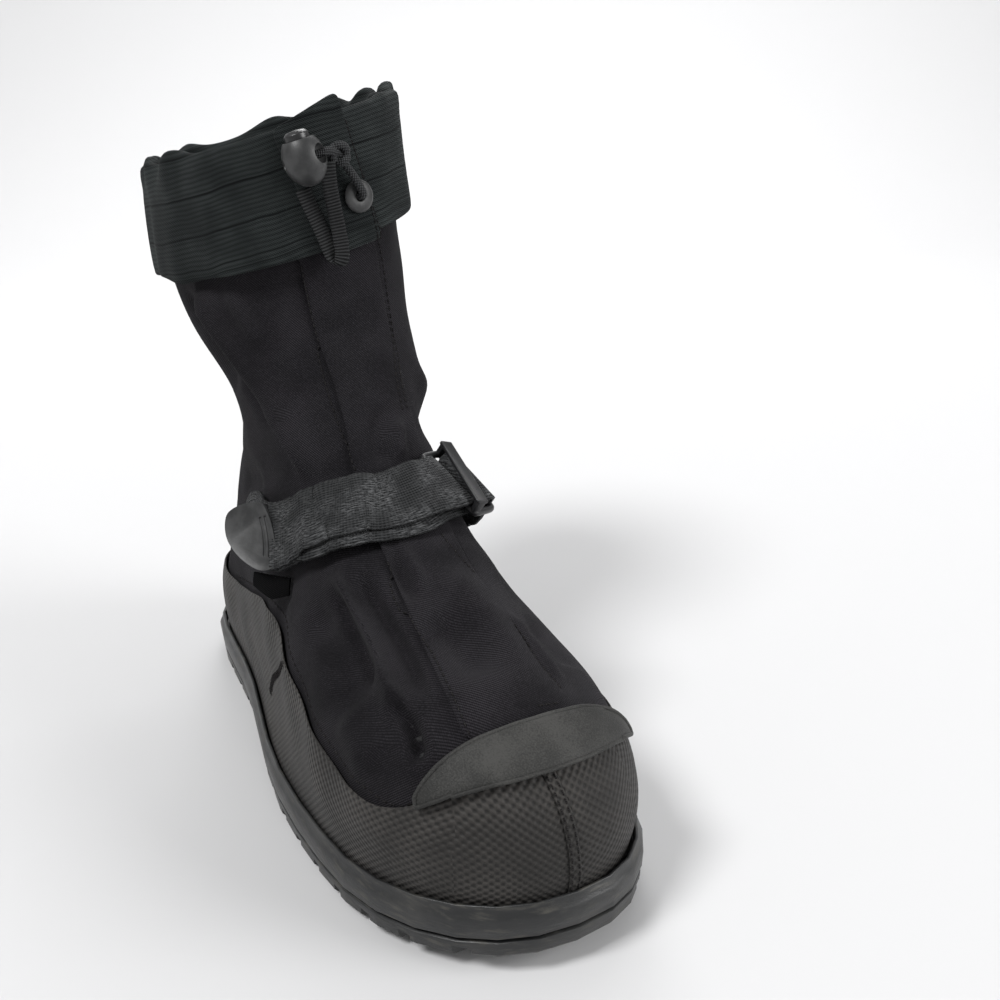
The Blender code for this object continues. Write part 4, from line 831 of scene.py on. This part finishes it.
# The cuff is a folded band of ribbed knit that is turned over the collar, gathered a little at its hem.
cuff_finish, cuff_shader = new_finish("ribbed_knit", (0.012, 0.015, 0.015), 0.9, 0.08)
cuff_shader.inputs["Sheen Weight"].default_value = 0.03
place = place_on(cuff_finish)
CUFF_UP = (-0.25, 0.133, 1.0)
sway = speckle(cuff_finish, place, 0.030, 2.0)
lifted = node(cuff_finish, "ShaderNodeVectorMath", [(0, place), (1, node(
    cuff_finish, "ShaderNodeCombineXYZ", [("Z", reckon(cuff_finish, "MULTIPLY", sway, 0.004))]).outputs[0])],
    operation="ADD").outputs[0]
ribs = ripples(cuff_finish, lifted, CUFF_UP, 0.0019)
fine = ripples(cuff_finish, lifted, CUFF_UP, 0.00095)
purl = reckon(cuff_finish, "MULTIPLY", ripples(cuff_finish, lifted, (1, -0.4, 0.1), 0.00105), fine)
# Darker lines where two slow ripples peak together, with no relief under them: painted shade in the furrows of
# the gathered knit.
gather_shade_lines = reckon(cuff_finish, "MULTIPLY", ripples(cuff_finish, lifted, CUFF_UP, 0.0081),
               ripples(cuff_finish, lifted, CUFF_UP, 0.0053))
knit = sum_of(cuff_finish, ribs, 0.35, purl, 0.6)
wear = speckle(cuff_finish, place, 0.020, 4.0)
yarn = blend_colours(cuff_finish, band(cuff_finish, wear, 0.35, 0.70), (0.0155, 0.0182, 0.0184),
                     (0.0305, 0.0352, 0.0350))
yarn = blend_colours(cuff_finish, band(cuff_finish, knit, -0.9, 0.5), (0.0045, 0.006, 0.006), yarn)
colour_from(cuff_finish, cuff_shader, blend_colours(cuff_finish, band(cuff_finish, gather_shade_lines, 0.72, 0.95), yarn,
                                                    (0.0035, 0.0045, 0.0048)))
raise_relief(cuff_finish, cuff_shader, (knit, 0.00022))
cuff = copy_of("cuff", "knitted_cuff", 2)
shell = BVHTree.FromObject(upper, bpy.context.evaluated_depsgraph_get())
for vertex in cuff.data.vertices:
    x, y, z = vertex.co
    around = np.arctan2(x - 0.002, -(y + 0.018))
    drop = collar_height(x, y) - z
    out = Vector((x - 0.002, y + 0.018, 0)).normalized()
    near = shell.find_nearest(vertex.co)[0]
    outer = ramp((vertex.co - near).dot(out), 0.0004, 0.0016)
    plain = ramp(abs(around + 0.1), 0.55, 0.5)
    wave = 0.5 + 0.3 * sin(9 * around + 0.4 + 14 * drop) + 0.2 * sin(17 * around + 2 - 20 * drop)
    lower = ramp(drop, 0, 0.05)
    vertex.co += out * (outer * plain * wave * (0.0007 + 0.0022 * lower))
    top = ramp(0.010 - drop, 0, 0.010)
    crest = 0.5 + 0.5 * sin(11 * around + 1.0 + 0.8 * sin(3 * around))
    vertex.co.z += top * plain * (0.0006 + 0.0040 * crest * crest)
    vertex.co += out * (top * plain * 0.0016 * sin(15 * around + 0.6))
    hem = ramp(drop, 0.040, 0.010)
    vertex.co.z += hem * plain * 0.0018 * sin(8 * around + 0.5)
cuff.data.update()
finish_piece(cuff, cuff_finish, "shoe", "cuff_knit", "cuff")

# The tab is a piece of the same knit over the cuff's front, and carries the lock. Its outer top corner stands
# in a peak, and its inner edge is sewn down with two rows.
cuff_tab = copy_of("cuff_tab", "twill_tab", 2)
box_map(cuff_tab)
finish_piece(cuff_tab, cuff_finish, "shoe", "cuff_knit", "cuff_tab")
TAB_ROWS = [[(17.5, -87, 279), (19.5, -87.5, 265), (22.0, -88, 250), (24.0, -88.5, 236), (25.0, -89, 227)],
            [(15.2, -87.5, 279), (17.2, -88, 265), (19.7, -88.5, 250), (21.7, -89, 236), (22.7, -89.5, 227)]]
sew("tab_stitches", tree_of(cuff_tab), TAB_ROWS, "cuff_knit", 0.0028)

# The strap is a grey webbing, worn white and fuzzy on its high threads. It goes through the buckle and back
# over itself to its pull tab. Its lower layer has slipped down a little, and its upper layer has a crease.
WEB_WALL = 0.0018
WEB_WIDTH = 0.029
STRAP_BEGINS = Vector((-0.0395, -0.0643, 0.0975))
STRAP_ENDS = Vector((-0.0400, -0.1115, 0.1180))
TURN_RING = 23
CREASE_PLACE = Vector((-0.0060, -0.1420, 0.1330))


def band_route(node_name, begin):
    """A CAD band's rings, from the one nearest to a place: the middle, the way across it and the way out."""
    shape = bmesh.new()
    shape.from_mesh(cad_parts[node_name].data)
    bmesh.ops.remove_doubles(shape, verts=shape.verts, dist=0.00002)
    first = min(shape.verts, key=lambda v: (v.co - begin).length)
    beside = [e.other_vert(first) for e in first.link_edges]
    thin = [v for v in beside if abs((v.co - first.co).length - WEB_WALL) < 0.0001]
    wide = [v for v in beside if (v.co - first.co).length > 0.020]
    ring = {first, *thin, *wide}
    for v in list(ring):
        ring |= {e.other_vert(v) for e in v.link_edges if abs(e.calc_length() - WEB_WALL) < 0.00006}
    rings, seen = [], set()
    while ring:
        seen |= ring
        rings.append([v.co.copy() for v in ring])
        ring = {e.other_vert(v) for v in ring for e in v.link_edges} - seen
    shape.free()
    route = []
    for corners in rings:
        middle = sum(corners, Vector()) / len(corners)
        corner = corners[0]
        mate = min(corners[1:], key=lambda c: (c - corner).length)
        others = [c for c in corners if c is not corner and c is not mate]
        across = ((corner + mate) - sum(others, Vector()) * (2 / len(others))).normalized()
        out = (corner - mate).normalized()
        if route:
            across = across if across.dot(route[-1][1]) > 0 else -across
            out = out if out.dot(route[-1][2]) > -0.2 else -out
        elif out.dot(Vector((middle.x, middle.y + 0.04, 0))) < 0:
            out = -out
        route.append((middle, across, out))
    return route


def webbing_piece(name, route, width, shift=None):
    """A webbing along a route, eased between its rings. Shift says how far each of its places is moved."""
    middles = even_line([ring[0] for ring in route], 0.0016)
    gone = [0.0]
    for a, b in zip(route, route[1:]):
        gone.append(gone[-1] + (b[0] - a[0]).length)
    spans = []
    for n in range(len(middles)):
        at = gone[-1] * n / (len(middles) - 1)
        spans.append((at, min(max(0, int(np.searchsorted(gone, at)) - 1), len(route) - 2)))
    outs = []
    for n, (at, k) in enumerate(spans):
        along = middles[min(n + 1, len(middles) - 1)] - middles[max(n - 1, 0)]
        outs.append(along.cross(route[k][1]).normalized())
    if outs[0].dot(route[0][2]) < 0:
        outs = [-out for out in outs]
    if shift:
        moves = [shift(at, gone[TURN_RING], middle, route[k][1], out)
                 for (at, k), middle, out in zip(spans, middles, outs)]
        middles = [middle + move for middle, move in zip(middles, moves)]
    return flat_band(name, middles, outs, width, WEB_WALL, 10)


def strap_shift(at, turn_at, middle, across, out):
    """The lower layer slips down between tab and buckle; the upper layer waves and has a sharp crease."""
    down = across if across.z < 0 else -across
    fallen = max(0.0, 1 - (middle - STRAP_ENDS).length / 0.034)
    fall = down * (0.0044 * fallen * fallen * (3 - 2 * fallen))
    if at < turn_at:
        share = at / turn_at
        slipped = ramp(share, 0.45, 0.15) * ramp(0.98 - share, 0, 0.14)
        return fall + down * (0.0046 * slipped * slipped * (3 - 2 * slipped))
    away = (middle - CREASE_PLACE).length
    return fall + out * (0.0011 * np.exp(-(away / 0.0026) ** 2) + 0.00035 * (1 + sin(260 * at)))


web_finish, web_shader = new_finish("grey_webbing", (0.035, 0.036, 0.037), 0.9, 0.08)
web_shader.inputs["Sheen Weight"].default_value = 0.04
spot = place_on(web_finish, "weave_map")
place = place_on(web_finish)
picks = ripples(web_finish, spot, (1, 0, 0), 0.0011)
rows = ripples(web_finish, spot, (0, 1, 0), 0.00125)
web = sum_of(web_finish, rows, 0.6, picks, 0.4)
streaks = node(web_finish, "ShaderNodeMapping", [("Vector", spot), ("Scale", (0.35, 1.6, 1))]).outputs[0]
fuzz = speckle(web_finish, streaks, 0.0008, 8.0)
worn = speckle(web_finish, place, 0.014, 4.0)
thread = blend_colours(web_finish, band(web_finish, web, -0.9, 0.5),
                       (0.0070, 0.0074, 0.0078), (0.028, 0.029, 0.030))
away = node(web_finish, "ShaderNodeVectorMath", [(0, place), (1, CREASE_PLACE)], operation="DISTANCE")
creased = reckon(web_finish, "SUBTRACT", 1.0, band(web_finish, away.outputs["Value"], 0.004, 0.015))
worn = reckon(web_finish, "ADD", worn, reckon(web_finish, "MULTIPLY", creased, 0.16))
bloom = reckon(web_finish, "MULTIPLY", band(web_finish, fuzz, 0.42, 0.66), band(web_finish, worn, 0.34, 0.66))
colour_from(web_finish, web_shader, blend_colours(web_finish, bloom, thread, (0.11, 0.112, 0.115)))
raise_relief(web_finish, web_shader, (web, 0.00030), (fuzz, 0.00022))
strap_rings = band_route("instep_strap", STRAP_BEGINS)[:-1]
strap = webbing_piece("webbing_strap", strap_rings, WEB_WIDTH, strap_shift)
for vertex in strap.data.vertices:
    near, normal = cloth_tree.find_nearest(vertex.co)[:2]
    clear = (vertex.co - near).dot(normal)
    if -0.005 < clear < 0.0005:
        vertex.co += normal * (0.0005 - clear)
    narrow = ramp(0.014 - (vertex.co - strap_rings[-1][0]).length, 0, 0.010)
    if vertex.index >= len(strap.data.vertices) // 2:
        from_middle = (vertex.co - strap_rings[-1][0]).dot(strap_rings[-1][1])
        vertex.co -= strap_rings[-1][1] * (from_middle * 0.12 * narrow)
strap.data.update()
finish_piece(strap, web_finish, "shoe", "strap_web", "instep_strap")
for node_name, band_name in (("buckle_anchor", "webbing_buckle_anchor"), ("pull_loop", "webbing_pull_loop")):
    webbing = copy_of(node_name, band_name, 0)
    soften_edges(webbing, 0.0003)
    box_map(webbing)
    finish_piece(webbing, web_finish, "shoe", "strap_web", node_name)

# The buckle is a moulded loop of dark gloss plastic. The strap turns round its near bar, the anchor round its
# far bar, and a flat grooved bar lies bare over the anchor's turn. Its place and directions, those of the lock
# and the pull tab's directions were printed by another program from the CAD pieces.
BUCKLE_PLACE = Vector((0.0265, -0.1409, 0.1337))
BUCKLE_ALONG = Vector((0.8785, 0.4479, -0.1661))
BUCKLE_OUT = Vector((0.3637, -0.4016, 0.8405))
BAR_WIDTH = 0.0060
BAR_LENGTH = 0.0372
BAR_RISE = 0.0066
BAR_SHIFT = 0.0062
BAR_TURN = radians(-18)


def put_in_place(piece, place, along, out):
    """Moves a piece that was made at the origin: its x goes along, its z goes out."""
    across = out.cross(along).normalized()
    turn = Matrix((along.normalized(), across, along.cross(across).normalized())).transposed().to_4x4()
    piece.data.transform(Matrix.Translation(place) @ turn @ piece.matrix_basis)
    piece.matrix_basis = Matrix()


def block(name, middle, size):
    """A box as the start of a moulded piece."""
    bpy.ops.mesh.primitive_cube_add(size=1, location=middle)
    made = bpy.context.object
    made.name = name
    made.scale = size
    bpy.ops.object.transform_apply(location=True, rotation=True, scale=True)
    return made


dark_finish, dark_shader = new_finish("dark_plastic", (0.012, 0.012, 0.013), 0.3, 0.5)
place = place_on(dark_finish)
haze = speckle(dark_finish, place, 0.004, 6.0)
rough_from(dark_finish, dark_shader, haze, 0.20, 0.42)
raise_relief(dark_finish, dark_shader, (speckle(dark_finish, place, 0.0005), 0.00003))
buckle = copy_of("buckle", "strap_buckle", 1)
finish_piece(buckle, dark_finish, "shoe", "dark_plastic", "buckle")
top_bar = block("buckle_top_bar", (0, 0, BAR_RISE), (BAR_WIDTH, BAR_LENGTH, 0.0018))
choose_faces(top_bar, lambda middle, normal: normal.z > 0.9)
bpy.ops.mesh.inset(thickness=0.0013)
bpy.ops.transform.translate(value=(0, 0, -0.0006))
bpy.ops.object.mode_set(mode="OBJECT")
for side in (-1, 1):
    post = block("post", (0, side * 0.0175, BAR_RISE / 2), (0.0040, 0.0026, BAR_RISE))
    choose(top_bar)
    post.select_set(True)
    bpy.ops.object.join()
soften_edges(top_bar, 0.0006, 3, 40)
top_bar.data.transform(Matrix.Translation((BAR_SHIFT, 0, 0)) @ Matrix.Rotation(BAR_TURN, 4, "Z"))
put_in_place(top_bar, BUCKLE_PLACE, BUCKLE_ALONG, BUCKLE_OUT)
top_bar.data.shade_smooth()
finish_piece(top_bar, dark_finish, "shoe", "dark_plastic")

# The pull tab is a moulded shield of grey plastic on the strap's end, with a raised rim and two curved
# grooves. It stands a little off the ankle.
TAB_PLACE = Vector((-0.0428, -0.1128, 0.1148))
TAB_NOSE = Vector((-0.2187, 0.8905, -0.3989))
TAB_FACE = Vector((-0.9522, -0.1055, 0.2866))
TAB_TURN = radians(31)
TAB_WALL = 0.0036
TAB_OUTLINE = [(3, -13.9), (-0.5, -7), (-2.5, 0), (-3.5, 7), (-2.5, 13), (2, 14.6), (7.5, 13.2), (15, 8),
               (20.5, 1), (22, -6), (20, -11.5), (12, -14.4), (3, -13.9)]
TAB_GROOVES = [[(2.6, -8.6), (1.2, -3), (0.4, 3), (0.4, 9)], [(5.0, -8.2), (3.6, -3), (2.8, 3), (2.8, 8.6)]]

grey_finish, grey_shader = new_finish("grey_plastic", (0.03, 0.03, 0.031), 0.42, 0.35)
place = place_on(grey_finish)
haze = speckle(grey_finish, place, 0.005, 6.0)
colour_from(grey_finish, grey_shader, blend_colours(grey_finish, band(grey_finish, haze, 0.35, 0.70),
                                                    (0.024, 0.0245, 0.025), (0.042, 0.0425, 0.043)))
raise_relief(grey_finish, grey_shader, (speckle(grey_finish, place, 0.0005), 0.00005))
tab_edge = even_line([Vector((x, y, 0)) / 1000 for x, y in TAB_OUTLINE], 0.0009)[:-1]
bpy.ops.mesh.primitive_circle_add(vertices=len(tab_edge), fill_type="NGON")
pull_tab = bpy.context.object
pull_tab.name = "strap_pull_tab"
for vertex, edge_place in zip(pull_tab.data.vertices, tab_edge):
    vertex.co = edge_place + Vector((0, 0, -TAB_WALL / 2))
bpy.ops.object.mode_set(mode="EDIT")
bpy.ops.mesh.select_all(action="SELECT")
bpy.ops.mesh.extrude_region_move(TRANSFORM_OT_translate={"value": (0, 0, TAB_WALL)})
bpy.ops.mesh.inset(thickness=0.0015)
bpy.ops.transform.translate(value=(0, 0, -0.0008))
bpy.ops.mesh.select_all(action="SELECT")
bpy.ops.mesh.normals_make_consistent(inside=False)
bpy.ops.object.mode_set(mode="OBJECT")
for points in TAB_GROOVES:
    groove_line = even_line([Vector((x, y, 1.0)) / 1000 for x, y in points], 0.001)
    groove = round_wire("groove", groove_line, 0.0006, 3)
    apply_step(pull_tab, "BOOLEAN", object=groove, operation="DIFFERENCE")
    bpy.data.objects.remove(groove, do_unlink=True)
soften_edges(pull_tab, 0.0004, 3, 50)
nose = TAB_NOSE * cos(TAB_TURN) + TAB_FACE * sin(TAB_TURN)
put_in_place(pull_tab, TAB_PLACE, nose, nose.cross(TAB_FACE.cross(nose)).normalized())
pull_tab.data.shade_smooth()
finish_piece(pull_tab, grey_finish, "shoe", "grey_plastic", "pull_tab")

# The label tab is a bare pointed tab of dark woven tape. It hangs from under the strap and stands off it.
LABEL_PLACE = Vector((-0.0457, -0.1165, 0.0950))
LABEL_FACE = Vector((-0.72, -0.60, 0.34)).normalized()
label = block("bare_label_tab", (0, 0, 0), (0.0180, 0.0072, 0.0011))
bpy.ops.object.mode_set(mode="EDIT")
bpy.ops.mesh.subdivide(number_cuts=7)
bpy.ops.object.mode_set(mode="OBJECT")
for vertex in label.data.vertices:
    lower = max(0.0, -vertex.co.y / 0.0036)
    vertex.co.y -= lower * (0.0030 - 0.38 * abs(vertex.co.x - 0.002))
    vertex.co.z += 0.0009 * cos(vertex.co.x * 260) * (0.4 + lower)
soften_edges(label, 0.0003)
sideways = Vector((0, 0, 1)).cross(LABEL_FACE).normalized()
put_in_place(label, LABEL_PLACE, sideways, LABEL_FACE)
label.data.shade_smooth()
tape_finish, tape_shader = new_finish("woven_tape", (0.004, 0.004, 0.0045), 0.8, 0.05)
place = place_on(tape_finish)
weft = ripples(tape_finish, place, (0.3, -0.3, 1), 0.0007)
colour_from(tape_finish, tape_shader, blend_colours(tape_finish, band(tape_finish, weft, -0.9, 0.9),
                                                    (0.0018, 0.0018, 0.0020), (0.0060, 0.0060, 0.0064)))
raise_relief(tape_finish, tape_shader, (weft, 0.00012))
finish_piece(label, tape_finish, "shoe", "dark_plastic", "label_tab")

# The lock is a grey plastic ball. The cord runs into a wide mouth in its side. A dark button slides in it.
LOCK_PLACE = Vector((-0.0103, -0.0965, 0.2645))
LOCK_ALONG = Vector((0.9564, -0.1384, 0.2573))
LOCK_AXIS = Vector((-0.2394, 0.1338, 0.9617))
LOCK_RADIUS = 0.0088
LOCK_HALF = 0.0110
LOCK_TOP = 0.0075
LOCK_MOUTH = 0.0040
MOUTH_PLACE = (0.0062, -0.0050, 0.0002)

bpy.ops.mesh.primitive_uv_sphere_add(segments=48, ring_count=32, radius=1)
lock = bpy.context.object
lock.name = "lock_barrel"
lock.scale = (LOCK_RADIUS, LOCK_RADIUS, LOCK_HALF)
bpy.ops.object.transform_apply(location=True, rotation=True, scale=True)
cutters = [block("top", (0, 0, LOCK_TOP + 0.004), (0.03, 0.03, 0.008))]
for radius, low, high in ((0.0045, -0.0078, 0.0120), (0.0055, 0.0032, 0.0120)):
    middle = (0, 0, (low + high) / 2)
    bpy.ops.mesh.primitive_cylinder_add(vertices=40, radius=radius, depth=high - low, location=middle)
    cutters.append(bpy.context.object)
bpy.ops.mesh.primitive_cylinder_add(vertices=32, radius=0.0022, depth=0.022, rotation=(0, pi / 2, 0))
cutters.append(bpy.context.object)
bpy.ops.mesh.primitive_uv_sphere_add(segments=32, ring_count=20, radius=LOCK_MOUTH, location=MOUTH_PLACE)
cutters.append(bpy.context.object)
for cutter in cutters:
    choose(cutter)
    bpy.ops.object.transform_apply(location=True, rotation=True, scale=True)
    apply_step(lock, "BOOLEAN", object=cutter, operation="DIFFERENCE")
    bpy.data.objects.remove(cutter, do_unlink=True)
soften_edges(lock, 0.0003, 2, 45)
put_in_place(lock, LOCK_PLACE, LOCK_ALONG, LOCK_AXIS)
lock.data.shade_smooth()
finish_piece(lock, grey_finish, "shoe", "grey_plastic", "cord_lock")
plunger = copy_of("lock_plunger", "lock_plunger_button", 0)
soften_edges(plunger, 0.0004)
finish_piece(plunger, dark_finish, "lock_button", "dark_plastic", "lock_plunger")

# The flat disc is a grey plastic washer that keeps the cord's end on the tab.
disc = copy_of("lace_disc", "cord_disc", 0)
soften_edges(disc, 0.0003)
finish_piece(disc, grey_finish, "shoe", "grey_plastic", "lace_disc")
